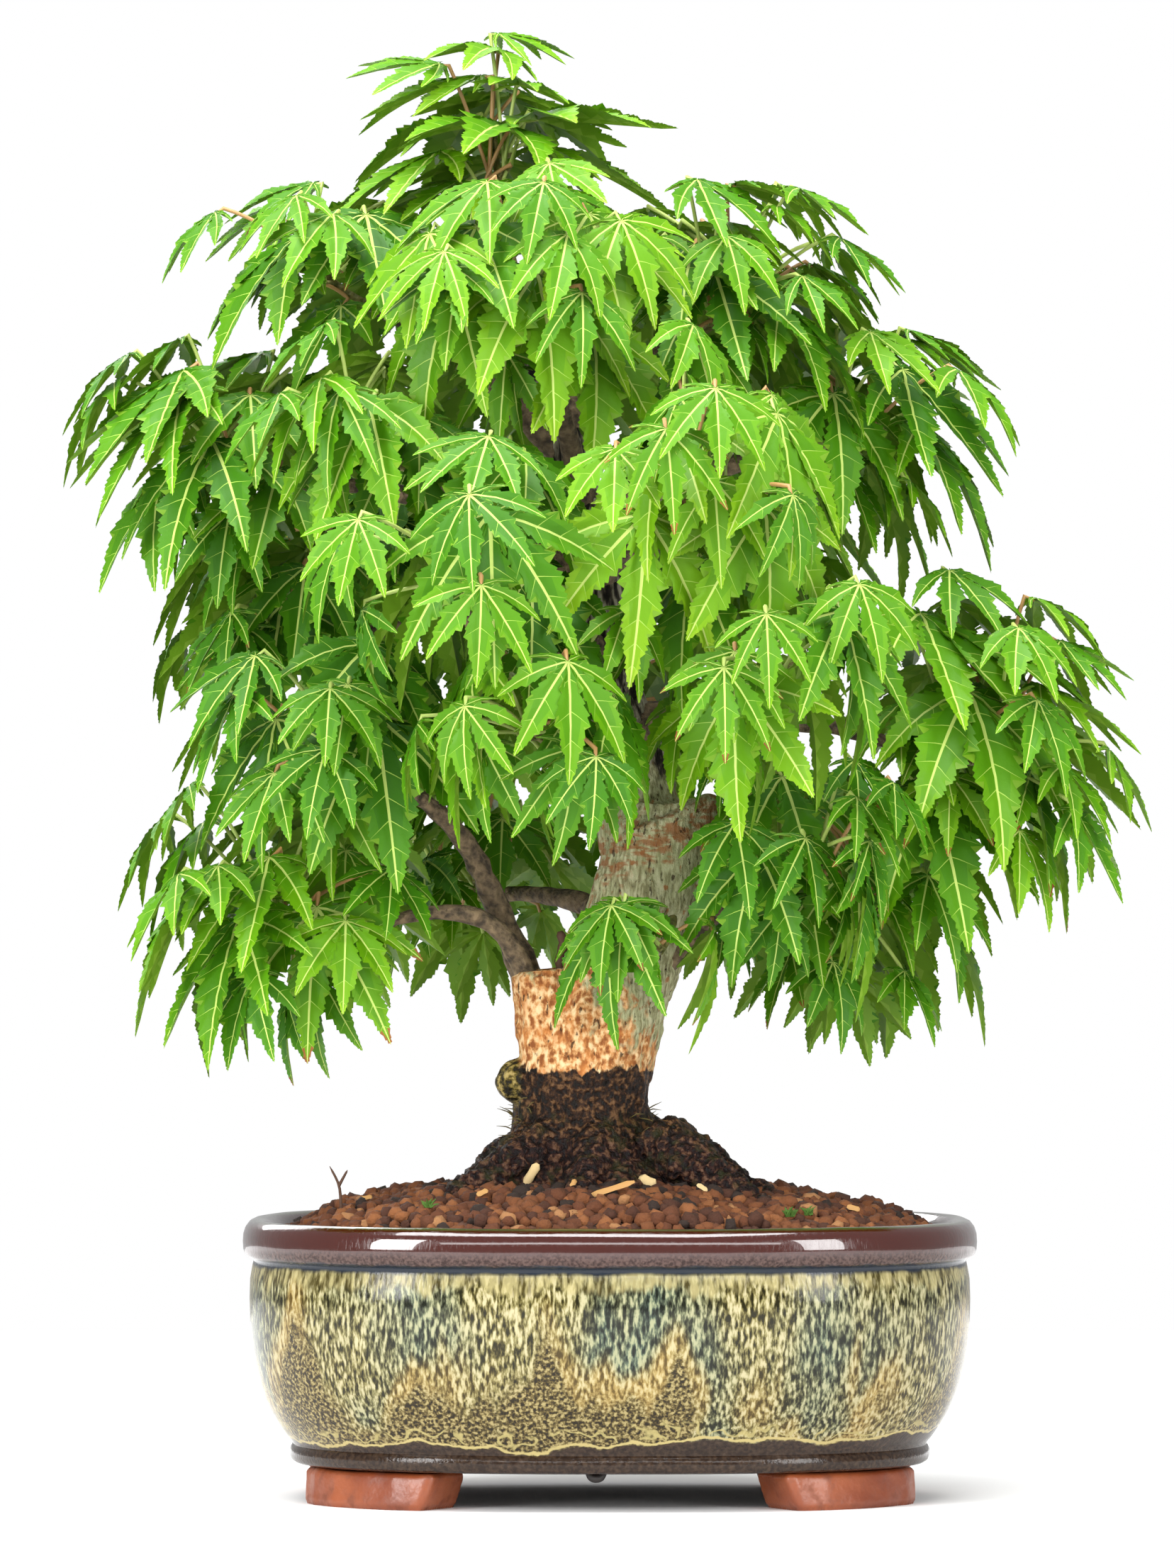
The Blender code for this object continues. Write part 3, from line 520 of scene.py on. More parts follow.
def clayMaterial():
    clay = Paint("terracotta", (0.26, 0.062, 0.023), 0.42)
    tone = clay.mix(clay.patches(clay.place, 60, 0.5, 0.3), (0.17, 0.036, 0.012), (0.28, 0.072, 0.024))
    dark = clay.patches(clay.place, 260, 0.26, 0.15, 5)
    clay.feed("Base Color", clay.mix(dark, tone, (0.11, 0.028, 0.012), 0.5))
    clay.feed("Roughness", clay.scaled(dark, 0.25, 0.34))
    grain = clay.times(clay.noise(clay.place, 900, 4), 0.3)
    return clay.bump(clay.plus(grain, clay.noise(clay.place, 160, 3)), 0.5, 0.0006)


def makeFeet():
    clay = clayMaterial()
    for name in feet["nodes"]:
        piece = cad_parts[name].copy()
        piece.data = piece.data.copy()
        piece.name = "clayFoot" + "".join(word.title() for word in name.split("_")[2:])
        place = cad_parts[name].matrix_world.copy()
        piece.parent = None
        piece.matrix_world = place
        for holder in list(piece.users_collection):
            holder.objects.unlink(piece)
        bpy.context.scene.collection.objects.link(piece)
        selectOnly(piece)
        bpy.ops.object.transform_apply(location=True, rotation=True, scale=True)
        bpy.ops.object.mode_set(mode="EDIT")
        bpy.ops.mesh.select_all(action="SELECT")
        bpy.ops.mesh.remove_doubles(threshold=0.01 * mm)
        bpy.ops.mesh.normals_make_consistent(inside=False)
        bpy.ops.object.mode_set(mode="OBJECT")
        modify(piece, "REMESH", mode="VOXEL", voxel_size=feet["remesh"])
        modify(piece, "SMOOTH", factor=0.5, iterations=6)
        points, normals = surfaceOf(piece)
        points += normals * (lumps(points, 75, 240, 0.5, 3) * feet["wobble"])[:, None]
        points[:, 2] = np.clip(points[:, 2], 0, feet["top"])
        points[points[:, 2] < feet["footing"], 2] = 0
        setPoints(piece, points)
        dressPiece(piece, clay, 60)
        finishPiece(piece, "clay", name)


makeFeet()
print("feet made")


# The soil: the CAD bed stays under a layer of baked clay granules
soil = {
    "edgeInset": 8.9 * mm,
    "landingX": -5 * mm,
    "landingRadius": 39 * mm,
    "rise": ((0.0, 67.0), (0.14, 70.6), (0.30, 73.4), (0.46, 75.4), (0.62, 76.8), (0.80, 78.0), (1.0, 79.5)),
    "lump": 1.3 * mm,
    "lumpEvery": 21 * mm,
    "spacing": 2.75 * mm,
    "rowSpacing": 0.866,  # of the spacing along a row
    "stray": 0.42,
    "wall": 0.985,  # how far out the granules go, as a share of the way to the wall
    "sizes": (2.5 * mm, 4.6 * mm),
    "wallSize": 0.85,  # those near the wall are smaller
    "lift": (-0.7, 0.9),  # of single granules, in millimetres
    "shapes": 8,
    "seed": 5,
    "tones": ((104, 59, 27), (86, 46, 21), (124, 75, 38), (64, 33, 16), (148, 104, 64), (38, 24, 16)),
    "toneShares": (0.32, 0.26, 0.14, 0.19, 0.03, 0.06),
}


def granuleMaterial(name, tone):
    grit = Paint(name, fromScreen(*tone), 0.93)
    grit.feed("Roughness", grit.scaled(grit.noise(grit.place, 420), 0.25, 0.78))
    return grit.bump(grit.noise(grit.place, 1400, 5), 0.8, 0.0005)


def soilHeight(x, y):
    # the CAD bed's height: level ground round the trunk that falls away to the pot's wall
    wide, deep = pot["halfX"] - soil["edgeInset"], pot["halfY"] - soil["edgeInset"]
    power = pot["squareness"]
    q = (abs(x / wide) ** power + abs(y / deep) ** power) ** (1 / power)
    outside = max(0.0, math.hypot(x - soil["landingX"], y) / soil["landingRadius"] - 1)
    share = max(0.0, 1 - q) / (max(0.0, 1 - q) + 0.55 * outside + 1e-9)
    shares, heights = zip(*soil["rise"])
    turn = math.pi / soil["lumpEvery"]
    lump = soil["lump"] * math.sin(turn * (x + 0.4 * y)) * math.sin(turn * (y - 0.3 * x))
    lump *= max(0.0, min(1.0, share / 0.14, (1 - share) / 0.2))
    return q, float(np.interp(share, shares, heights)) * mm + lump


def granuleShape(rng):
    # a cube cut once and pushed out to a lumpy ball
    bm = bmesh.new()
    bmesh.ops.create_cube(bm, size=1)
    bmesh.ops.subdivide_edges(bm, edges=bm.edges, cuts=1, use_grid_fill=True)
    bm.verts.ensure_lookup_table()
    flat = [rng.uniform(0.75, 1.2) for _ in range(3)]
    points = []
    for corner in bm.verts:
        p = corner.co.normalized() * (0.36 + 0.14 * rng.random()) + corner.co * 0.18
        points.append([p[k] * flat[k] for k in range(3)])
    faces = [[corner.index for corner in face.verts] for face in bm.faces]
    bm.free()
    return np.array(points), np.array(faces)


def turned(rng):
    # a random rotation as a 3 by 3 array
    axis = Vector([rng.gauss(0, 1) for _ in range(3)]).normalized()
    return np.array(Quaternion(axis, rng.uniform(0, 2 * math.pi)).to_matrix())


def makeSoil():
    rng = random.Random(soil["seed"])
    shapes = [granuleShape(rng) for _ in range(soil["shapes"])]
    granules = Gathered()
    step, rowStep, stray = soil["spacing"], soil["rowSpacing"], soil["stray"]
    rows = int(2 * pot["halfY"] / (step * rowStep))
    columns = int(2 * pot["halfX"] / step) + 1
    last = len(soil["tones"]) - 1
    for row in range(rows + 1):
        for column in range(columns + 1):
            x = -pot["halfX"] + (column + 0.5 * (row % 2) + rng.uniform(-stray, stray)) * step
            y = -pot["halfY"] + (row * rowStep + rng.uniform(-stray, stray)) * step
            q, z = soilHeight(x, y)
            if q > soil["wall"]:
                continue
            size = rng.uniform(*soil["sizes"]) * (soil["wallSize"] if q > 0.9 else 1)
            shape, corners = rng.choice(shapes)
            lift = noise.noise(Vector((x, y, 0)) * 70) * mm + rng.uniform(*soil["lift"]) * mm
            points = (shape * size) @ turned(rng).T + np.array((x, y, z + lift))
            away = math.hypot(x - soil["landingX"], y) / soil["landingRadius"]
            tone = rng.choices(range(last + 1), soil["toneShares"])[0]
            # round the trunk most granules have the last, damp tone
            granules.add(points, corners, last if rng.random() < 1.5 - 1.3 * away else tone)
    tones = [granuleMaterial("granule" + str(i), tone) for i, tone in enumerate(soil["tones"])]
    finishPiece(granules.finish("soilGranules", tones), "soil")
    print("granules:", len(granules.points))


def dressBed():
    bed = Paint("soilBed", (0.05, 0.02, 0.011), 0.95)
    clods = bed.patches(bed.place, 260, 0.5, 0.3)
    bed.feed("Base Color", bed.mix(clods, (0.022, 0.010, 0.006), (0.13, 0.055, 0.03)))
    bed.bump(clods, 0.8, 0.001)
    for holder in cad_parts["soil"].material_slots:
        holder.material = bed.material


makeSoil()
dressBed()
print("soil made")


# Limbs, drawn as lines of points with a radius at each

def ringsAlong(points, radii, sides):
    # rings square to a line of points, each with its first corner in line with the one before
    rings = []
    guide = None
    for i, point in enumerate(points):
        before, after = points[max(i - 1, 0)], points[min(i + 1, len(points) - 1)]
        along = (after - before).normalized()
        if guide is None:
            guide = Vector((0, 1, 0)) if abs(along.y) < 0.8 else Vector((1, 0, 0))
        guide = (guide - along * guide.dot(along)).normalized()
        other = along.cross(guide)
        turns = [2 * math.pi * k / sides for k in range(sides)]
        rings.append([point + (guide * math.cos(t) + other * math.sin(t)) * radii[i] for t in turns])
    return rings


def loft(bm, rings):
    rows = [[bm.verts.new(point) for point in ring] for ring in rings]
    count = len(rows[0])
    for lower, upper in zip(rows, rows[1:]):
        for i in range(count):
            j = (i + 1) % count
            bm.faces.new((lower[i], lower[j], upper[j], upper[i]))
    bm.faces.new(list(reversed(rows[0])))
    bm.faces.new(rows[-1])


def tube(bm, points, radii, sides, grow=0.0):
    loft(bm, ringsAlong(points, [radius + grow for radius in radii], sides))


def smoothRows(rows, count):
    # rows of numbers along a smooth line through the given ones
    rows = np.array(rows, float)
    padded = np.vstack([2 * rows[0] - rows[1], rows, 2 * rows[-1] - rows[-2]])
    found = []
    for i in range(count):
        place = i / (count - 1) * (len(rows) - 1)
        k = min(int(place), len(rows) - 2)
        t = place - k
        a, b, c, d = padded[k:k + 4]
        found.append(b + 0.5 * t * (c - a + t * (2 * a - 5 * b + 4 * c - d + t * (3 * (b - c) + d - a))))
    return np.array(found)


# The trunk
trunk = {
    # height, middle in X and Y, and radius of each section, in millimetres
    "sections": ((79.8, -5.0, 0.0, 32.0), (83.5, -4.2, 0.0, 26.5), (89.5, -5.4, 0.0, 21.0),
                 (98.5, -7.4, 0.0, 17.2), (112.0, -6.4, 0.0, 17.0), (128.0, -1.6, 0.0, 16.8),
                 (142.0, 5.4, 0.0, 15.0), (159.0, 11.6, 0.0, 15.0), (172.0, 13.8, 0.0, 14.6),
                 (180.0, 15.4, 0.0, 13.0)),
    "sides": 14,
    "ribs": 5,
    "ribDepth": 0.13,
    "ribFoot": 79.8 * mm,
    "ribTop": 104 * mm,
    "ribTurn": 0.6,
    "stub": ((-13, -3, 104), (-16.4, -3.4, 136.7), 8.2),
    "knob": ((-23.5, -4.0, 108.0), 5.2),
    "leaderSides": 10,
    "leaderTakesOver": 170,
    # place and radius of each section of the leader, in millimetres
    "leader": ((9.5, 1.0, 168.0, 11.5), (4.5, 2.0, 190.0, 9.6), (-1.0, 2.0, 212.0, 8.0),
               (-2.4, 1.0, 231.0, 7.0), (-7.0, 0.0, 257.0, 5.4), (-15.0, -1.0, 284.0, 4.0),
               (-22.0, -1.0, 304.0, 2.9), (-25.0, 0.0, 318.0, 2.1)),
    # surface roots: points and radii in millimetres, each with its thin end running on into the soil
    "roots": (((12, -10, 93, 7.5), (22, -18, 85.5, 6), (31, -25, 80.5, 3.6), (41, -32, 75, 2)),
              ((6, 8, 93, 7.5), (15, 19, 85.5, 6), (23, 27, 80.5, 3.6), (30, 35, 75, 2)),
              ((-16, -10, 93, 7.5), (-26, -17, 85, 6), (-35, -22, 80.5, 3.4), (-45, -27, 75.5, 2)),
              ((-16, 9, 93, 7.5), (-27, 16, 85, 6), (-36, 20, 80.5, 3.2), (-44, 26, 75.5, 2)),
              ((14, -1, 92, 7.5), (25, -3, 84.5, 6), (34, -7, 80.5, 3.2), (45, -11, 75, 1.8)),
              ((-4, -15, 92, 6.5), (-6, -26, 84, 5), (-8, -36, 80.5, 2.8), (-13, -44, 75.5, 1.6))),
    "voxel": 0.75 * mm,
    "lumps": 0.8 * mm,
    "fissures": 0.55 * mm,
    "plates": 0.35 * mm,
    "matted": 0.8 * mm,
    "grit": 0.2 * mm,
    # the stub's sawn end, in millimetres: its middle, the heights and reach of the cut, its wood's height
    "cutMiddle": (-16.3, -3.4),
    "cutBand": (135, 141),
    "cutReach": 9.5,
    "cutWood": 6.3,
    "cutHeight": 135.6,
    # the old cut across the top: a point on it in millimetres, across and up, how steep it is, its lip of
    # bark and how deep the wood above it lies
    "cutPoint": (8.6, 172.7),
    "cutSlope": 0.43,
    "lip": 1.5 * mm,
    "bareDepth": 0.8 * mm,
}


def trunkRing(height, x, y, radius, grow=0.0, sides=14):
    ribs = trunk["ribDepth"] * max(0, (trunk["ribTop"] - height) / (trunk["ribTop"] - trunk["ribFoot"]))
    ring = []
    for i in range(sides):
        turn = 2 * math.pi * i / sides
        r = radius * (1 + ribs * math.cos(trunk["ribs"] * turn + trunk["ribTurn"])) + grow
        ring.append(Vector((x + math.cos(turn) * r, y + math.sin(turn) * r, height)))
    return ring


def leaderPoints():
    return [Vector(row[:3]) * mm for row in trunk["leader"]], [row[3] * mm for row in trunk["leader"]]


def trunkMiddle(height):
    # the middle of the trunk, or of its leader above the old cut
    rows = [Vector((x, y, z)) * mm for z, x, y, r in trunk["sections"] if z < trunk["leaderTakesOver"]]
    rows += [Vector(row[:3]) * mm for row in trunk["leader"][1:]]
    for low, high in zip(rows, rows[1:]):
        if height <= high.z:
            return low.lerp(high, (height - low.z) / (high.z - low.z))
    return rows[-1]


def barkMaterial():
    bark = Paint("maturedBark", (0.35, 0.24, 0.14), 0.85, Specular_IOR_Level=0.22)
    x, z, flat = bark.axis("X"), bark.axis("Z"), bark.place
    upright, flaky = bark.stretched(0.22), bark.stretched(0.7)
    edge = bark.minus(bark.noise(bark.stretched(0.5), 330, 6), 0.5)

    def ragged(value, reach):
        return bark.plus(value, bark.times(edge, reach))

    # pale grey-green bark with fine upright grain, small dark slits and warm scars
    grain = bark.over(bark.noise(upright, 1100, 5), 0.34, 0.66)
    pale = bark.tones(grain, (124, 118, 84), (160, 156, 118), (178, 176, 138), (196, 192, 156))
    pale = bark.mix(bark.patches(flat, 70, 0.5, 0.3), pale, fromScreen(142, 150, 104), 0.5)
    pale = bark.mix(bark.patches(flaky, 420, 0.22, 0.06, 8), pale, fromScreen(150, 96, 54), 0.85)
    slits = bark.patches(bark.stretched(0.4), 820, 0.20, 0.05, 4)
    # flaking orange-tan bark lower down and on the left, cream where a flake has come off
    flakes = bark.over(bark.noise(flaky, 640, 8), 0.36, 0.64)
    tan = bark.tones(flakes, (128, 74, 38), (184, 128, 76), (208, 164, 112), (224, 192, 146))
    tan = bark.mix(bark.patches(flaky, 230, 0.34, 0.16, 6), tan, fromScreen(196, 124, 62), 0.6)
    slope = ragged(bark.plus(z, bark.times(x, 0.9)), 0.07)
    tone = bark.mix(bark.over(slope, 0.122, 0.134), tan, pale)
    # layered brown bark under the old cut
    layers = bark.patches(bark.stretched(2.6), 260, 0.52, 0.12, 6)
    nearCut = bark.band(ragged(bark.minus(z, bark.times(x, trunk["cutSlope"])), 0.02), 0.1655, 0.0085)
    tone = bark.mix(bark.times(nearCut, layers), tone, fromScreen(146, 88, 48), 0.8)
    tone = bark.mix(slits, tone, fromScreen(58, 42, 28), 0.85)
    # the leader above the old cut: grey-black and furrowed
    furrow = bark.over(bark.noise(upright, 520, 6), 0.38, 0.62)
    dark = bark.tones(furrow, (26, 22, 18), (72, 66, 54), (122, 116, 98), (160, 154, 136))
    tone = bark.mix(bark.over(ragged(z, 0.03), 0.184, 0.190), tone, dark)
    # wet, mossy foot with a ragged level edge, and the knob with dry yellow moss
    wetGrain = bark.over(bark.noise(flat, 620, 6), 0.36, 0.66)
    wet, foot, mossy = [bark.tones(wetGrain, *tones) for tones in (
        ((14, 8, 4), (36, 20, 11), (60, 38, 21), (102, 72, 44)),
        ((12, 5, 5), (30, 13, 11), (50, 26, 18), (92, 64, 46)),
        ((24, 20, 8), (72, 62, 24), (120, 104, 50), (166, 146, 88)),
    )]
    wet = bark.mix(bark.over(z, 0.097, 0.090), wet, foot)
    moss = bark.times(bark.patches(flat, 240, 0.34, 0.1, 5), bark.over(z, 0.104, 0.096))
    wet = bark.mix(moss, wet, fromScreen(48, 50, 22), 0.5)
    wetMask = bark.over(ragged(z, 0.008), 0.1114, 0.1106)
    tone = bark.mix(wetMask, tone, wet)
    onKnob = bark.times(bark.over(x, -0.0222, -0.0240), bark.band(z, 0.1085, 0.0095))
    bark.feed("Base Color", bark.mix(onKnob, tone, mossy))
    bark.feed("Roughness", bark.scaled(wetMask, -0.32, 0.86))
    height = bark.plus(bark.times(grain, 0.35), bark.times(flakes, 0.6))
    height = bark.plus(height, bark.times(wetGrain, wetMask, 0.8))
    return bark.bump(bark.minus(height, bark.times(slits, 0.7)), 0.75, 0.0008)


def bareObject(name, build):
    bm = bmesh.new()
    build(bm)
    mesh = bpy.data.meshes.new(name)
    bm.to_mesh(mesh)
    bm.free()
    return linkPiece(name, mesh)


def roundLimb(name, rows, count, sides):
    # a limb along a smooth line through rows of place and radius
    rows = smoothRows(rows, count) * mm
    points, radii = [Vector(row[:3]) for row in rows], [row[3] for row in rows]
    return bareObject(name, lambda bm: tube(bm, points, radii, sides))


def roundKnob(bm):
    place, radius = trunk["knob"]
    bmesh.ops.create_icosphere(bm, subdivisions=3, radius=radius * mm)
    bmesh.ops.translate(bm, verts=bm.verts, vec=Vector(place) * mm)


def makeTrunk():
    rings = [trunkRing(z, x, y, r, 0, 64) for z, x, y, r in smoothRows(trunk["sections"], 46) * mm]
    low, high, radius = trunk["stub"]
    stub = [Vector(low) * mm, Vector(high) * mm]
    pieces = [
        bareObject("barkedTrunk", lambda bm: loft(bm, rings)),
        bareObject("stub", lambda bm: tube(bm, stub, [radius * 1.12 * mm, radius * mm], 40)),
        roundLimb("leader", trunk["leader"], 60, 28),
        bareObject("knob", roundKnob),
        *[roundLimb("root", root, 14, 14) for root in trunk["roots"]],
    ]
    piece = joinPieces(pieces)
    modify(piece, "REMESH", mode="VOXEL", voxel_size=trunk["voxel"])
    modify(piece, "SMOOTH", factor=0.5, iterations=4)
    points, normals = surfaceOf(piece)
    x, y, z = points.T / mm
    # the stub's cut end stays nearly smooth, and the bark gets finer towards the leader's tip
    (middleX, middleY), (lowest, highest) = trunk["cutMiddle"], trunk["cutBand"]
    fromMiddle = np.hypot(x - middleX, y - middleY)
    stubTop = (z > lowest) & (z < highest) & (fromMiddle < trunk["cutReach"])
    keep = np.where(stubTop, 0.15, 1.0) * np.clip((320 - z) / 60, 0.25, 1)
    out = lumps(points, (52, 52, 34), (120, 120, 80), 0.5, 1) * trunk["lumps"]
    out += (1 - 2 * np.abs(softNoise(points, (260, 260, 44), 3))) * trunk["fissures"]
    out += np.clip(softNoise(points, (210, 210, 120), 4) * 9 + 0.3, -0.5, 1) * trunk["plates"]
    out += softNoise(points, 620, 5) * trunk["grit"]
    # thin matted roots over the foot
    out += (1 - 3 * np.abs(softNoise(points, 330, 6))) * np.clip((100 - z) / 8, 0, 1) * trunk["matted"]
    points = points + normals * (out * keep)[:, None]
    # the sawn stub: a rim of bark round sunken wood
    wood = stubTop & (fromMiddle < trunk["cutWood"])
    points[wood, 2] = np.minimum(points[wood, 2], trunk["cutHeight"] * mm)
    # the lip of bark along the old cut, and the bare wood above it
    cutX, cutZ = trunk["cutPoint"]
    line = z - (cutZ + (x - cutX) * trunk["cutSlope"])
    front = (y < -3) & (x > 4) & (z > 165)
    lip = np.exp(-(line / 1.5) ** 2) * front * trunk["lip"]
    bare = (line > 1.5) * front * trunk["bareDepth"]
    setPoints(piece, points + normals * (lip - bare)[:, None])
    dressPiece(piece, barkMaterial(), 65)
    finishPiece(piece, "bark", "trunk")


makeTrunk()
print("trunk made")


# The crown: boughs, twigs and leaves that grow by the same seeded rule as the CAD masses
growth = {
    "trunkAxisX": -5 * mm,
    "centred": 25 * mm,  # a mass whose middle is nearer to the trunk's axis than this faces no way
    "boughSides": 6,
    "boughSteps": 5,
    "boughTip": 1.7 * mm,
    "boughLift": 0.1,
    "boughReach": 0.5,
    "notch": 0.20,
    "shoulder": 0.50,
    "shoulderHalfWidth": 0.18,
    "sweep": 0.16,
    "cup": 0.16,
    "fold": 0.38,
    "bendShortens": 0.35,
    "thickness": 1.65 * mm,
    "heel": 0.10,
    "centre": 0.45,
    "petiole": 0.62 * mm,
    "petioleArch": 0.16,
    "petioleDip": 0.04,
    "sizes": (0.86, 1.1),
    "outFromMass": 0.9,
    "outFromTrunk": 0.55,
    "turnSpread": 0.35,
    "slopeUp": 20,
    "slopeSpread": 11,
    "rollSpread": 0.3,
    "bend": (0.1, 0.3),
    "depth": (0.75, 1.25),
    "leastDepth": 0.25,
    "stray": 0.45,
    "tries": 120,
    "margin": 1.2,
    "lowest": -0.55,
    "nearest": -0.42,
    "twig": 1.05 * mm,
    "stem": 1.5 * mm,
    "stemPastMiddle": 0.12,
    "stemStraight": 0.4,
    "twigReach": 0.18,
    "twigFeet": (0.45, 0.95),
    "stalkPlaces": (0.52, 0.74, 0.94),
}
# A second round of smaller leaves fills the same spaces from the same twigs, clear of every blade and limb
fullness = {
    "stalkPlaces": (0.2, 0.4, 0.6, 0.8, 1.0, 0.3, 0.5, 0.7),
    "sizes": (0.5, 0.92),
    "depth": (0.35, 1.2),
    "stray": 1.1,
    "tries": 60,
    "margin": 1.05,
    "thickness": 0.3 * mm,
    "seed": 71,
    "most": 300,
}
lobes = ((-82, 0.70), (-41, 0.92), (0, 1.0), (41, 0.92), (82, 0.70))
# middle, radii, leaves, length of a middle lobe, how many degrees its leaves hang below level, the height
# where its bough leaves the trunk, the bough's radius there and the seed, with lengths in millimetres
masses = {
    "top": ((-29, 2, 350), (46, 42, 38), 11, 42, 6, None, 0, 1),
    "upper_left": ((-74, -6, 318), (46, 44, 34), 9, 44, 26, 268, 3.3, 38),
    "upper_right": ((32, -8, 310), (48, 44, 42), 10, 42, 30, 278, 3.3, 19),
    "upper_front": ((-22, -50, 306), (48, 42, 42), 9, 46, 46, 256, 3.2, 18),
    "upper_back": ((-14, 58, 304), (54, 44, 42), 9, 46, 38, 272, 3.2, 36),
    "left": ((-102, -2, 268), (50, 48, 46), 10, 50, 34, 242, 3.6, 40),
    "left_front": ((-64, -44, 274), (42, 38, 36), 6, 44, 44, 232, 3.0, 21),
    "right": ((67, 4, 276), (48, 46, 42), 10, 46, 32, 252, 3.6, 41),
    "front_right": ((22, -70, 256), (46, 44, 46), 9, 48, 56, 236, 3.4, 26),
    "front_left": ((-36, -74, 236), (46, 42, 44), 8, 48, 56, 216, 3.4, 52),
    "back_left": ((-60, 61, 252), (50, 44, 46), 9, 46, 43, 208, 3.8, 29),
    "back_right": ((36, 64, 252), (50, 44, 46), 9, 46, 43, 238, 3.6, 44),
    "inner_left": ((-90, 14, 222), (42, 42, 42), 8, 46, 46, 222, 3.2, 42),
    "middle_left": ((-72, -32, 192), (48, 44, 42), 9, 48, 46, 150, 3.8, 27),
    "middle_front": ((-20, -66, 200), (44, 42, 40), 8, 46, 60, 182, 3.4, 36),
    "middle_right": ((40, -60, 212), (44, 42, 42), 9, 46, 56, 192, 3.4, 44),
    "far_right": ((99.5, -4, 192), (46, 50, 54), 11, 48, 34, 200, 4.0, 51),
    "middle_back": ((-8, 66, 202), (54, 44, 44), 9, 46, 43, 176, 4.0, 2),
    "low_left": ((-88, -14, 150), (50, 46, 44), 11, 46, 44, 128, 2.8, 10),
    "low_back_left": ((-40, 60, 158), (46, 42, 36), 8, 42, 40, 146, 3.6, 53),
    "low_right": ((52, -28, 165), (44, 42, 40), 9, 44, 48, 134, 2.8, 22),
    "low_far_right": ((70, 14, 152), (44, 46, 42), 8, 44, 42, 158, 3.2, 44),
    "low_back_right": ((32, 62, 160), (46, 42, 36), 8, 42, 40, 168, 3.6, 46),
    "trunk_front": ((12, -32, 140), (34, 26, 34), 2, 42, 64, None, 0, 21),
}
trunkShoots = {"trunk_front": ((13.0, -14.9, 147.0), (0.40, -0.85, 0.34))}
bentBoughs = {
    "middle_left": ((-16, 8, 118), (-36, 6, 182)),
    "low_left": ((-18, -4, 122), (-26, -5, 166)),
    "low_right": ((8, -4, 130), (30, -9, 158)),
}


def arc(start, middle, end, steps):
    points = []
    for i in range(steps + 1):
        t = i / steps
        points.append(start * (1 - t) ** 2 + middle * 2 * t * (1 - t) + end * t**2)
    return points


def pointAlong(points, share):
    place = share * (len(points) - 1)
    i = min(int(place), len(points) - 2)
    return points[i].lerp(points[i + 1], place - i)


class Space:
    # the room that one mass keeps to, and how its bough and stem reach it
    def __init__(self, name, row):
        middle, radii, self.leaves, lobe, self.slope, leave, boughRadius, self.seed = row
        self.name = name
        self.middle = Vector(middle) * mm
        self.radii = Vector(radii) * mm
        self.lobe = lobe * mm
        self.boughRadius = boughRadius * mm
        self.bough = None
        if name in trunkShoots:
            start, heading = trunkShoots[name]
            self.root = Vector(start) * mm
            self.heading = Vector(heading).normalized()
        elif leave is None:
            points, _ = leaderPoints()
            self.root = points[-1] + up * gap
            self.heading = (points[-1] - points[-2]).normalized()
        else:
            start = trunkMiddle(leave * mm)
            away = self.middle - start
            tip = self.middle - away.normalized() * (growth["boughReach"] * min(self.radii))
            bend = (start + tip) / 2 + up * (growth["boughLift"] * away.length)
            if name in bentBoughs:
                start, bend = [Vector(point) * mm for point in bentBoughs[name]]
            self.curve = (start, bend, tip)
            self.bough = arc(start, bend, tip, growth["boughSteps"])
            self.heading = (self.bough[-1] - self.bough[-2]).normalized()
            self.root = tip + self.heading * gap
        flat = Vector((self.middle.x - growth["trunkAxisX"], self.middle.y, 0))
        self.out = flat.normalized() if flat.length > growth["centred"] else Vector((0, 0, 0))

    def stretch(self, d):
        return Vector((d.x / self.radii.x, d.y / self.radii.y, d.z / self.radii.z)).length


class Leaf:
    # where its stalk ends, which way its middle lobe points, and how it hangs
    def __init__(self, place, forward, normal, lobe, bend):
        self.place, self.forward, self.normal, self.lobe, self.bend = place, forward, normal, lobe, bend
        self.across = normal.cross(forward)

    def point(self, lobe, s, u=0.0):
        angle, share = lobes[lobe]
        turn = math.radians(angle) * (1 - growth["sweep"] * s)
        length = self.lobe * share
        along = self.forward * math.cos(turn) + self.across * math.sin(turn)
        left = self.across * math.cos(turn) - self.forward * math.sin(turn)
        reach = length * s * (1 - growth["bendShortens"] * self.bend * s)
        drop = length * (growth["cup"] * s + self.bend * s * s)
        return self.place + along * reach + left * u + self.normal * (abs(u) * growth["fold"] - drop)

    def heel(self):
        return self.place - self.forward * (growth["heel"] * self.lobe)

    def outline(self):
        ring = []
        for i, (_, share) in enumerate(lobes):
            if i:
                r = growth["notch"]
                ring.append((self.point(i - 1, r / lobes[i - 1][1]) + self.point(i, r / share)) / 2)
            wide = growth["shoulderHalfWidth"] * self.lobe * share
            half = growth["shoulder"]
            ring += [self.point(i, half, -wide), self.point(i, 1), self.point(i, half, wide)]
        return ring

    def addTo(self, bm, thickness):
        edge = [bm.verts.new(point) for point in self.outline()]
        top = bm.verts.new(self.place + self.normal * thickness / 2)
        under = bm.verts.new(self.place - self.normal * thickness / 2)
        for a, b in zip(edge, edge[1:]):
            bm.faces.new((a, b, top))
            bm.faces.new((b, a, under))
        heel = bm.verts.new(self.heel())
        for a, b in ((edge[-1], heel), (heel, edge[0])):
            bm.faces.new((a, b, top))
            bm.faces.new((b, a, under))


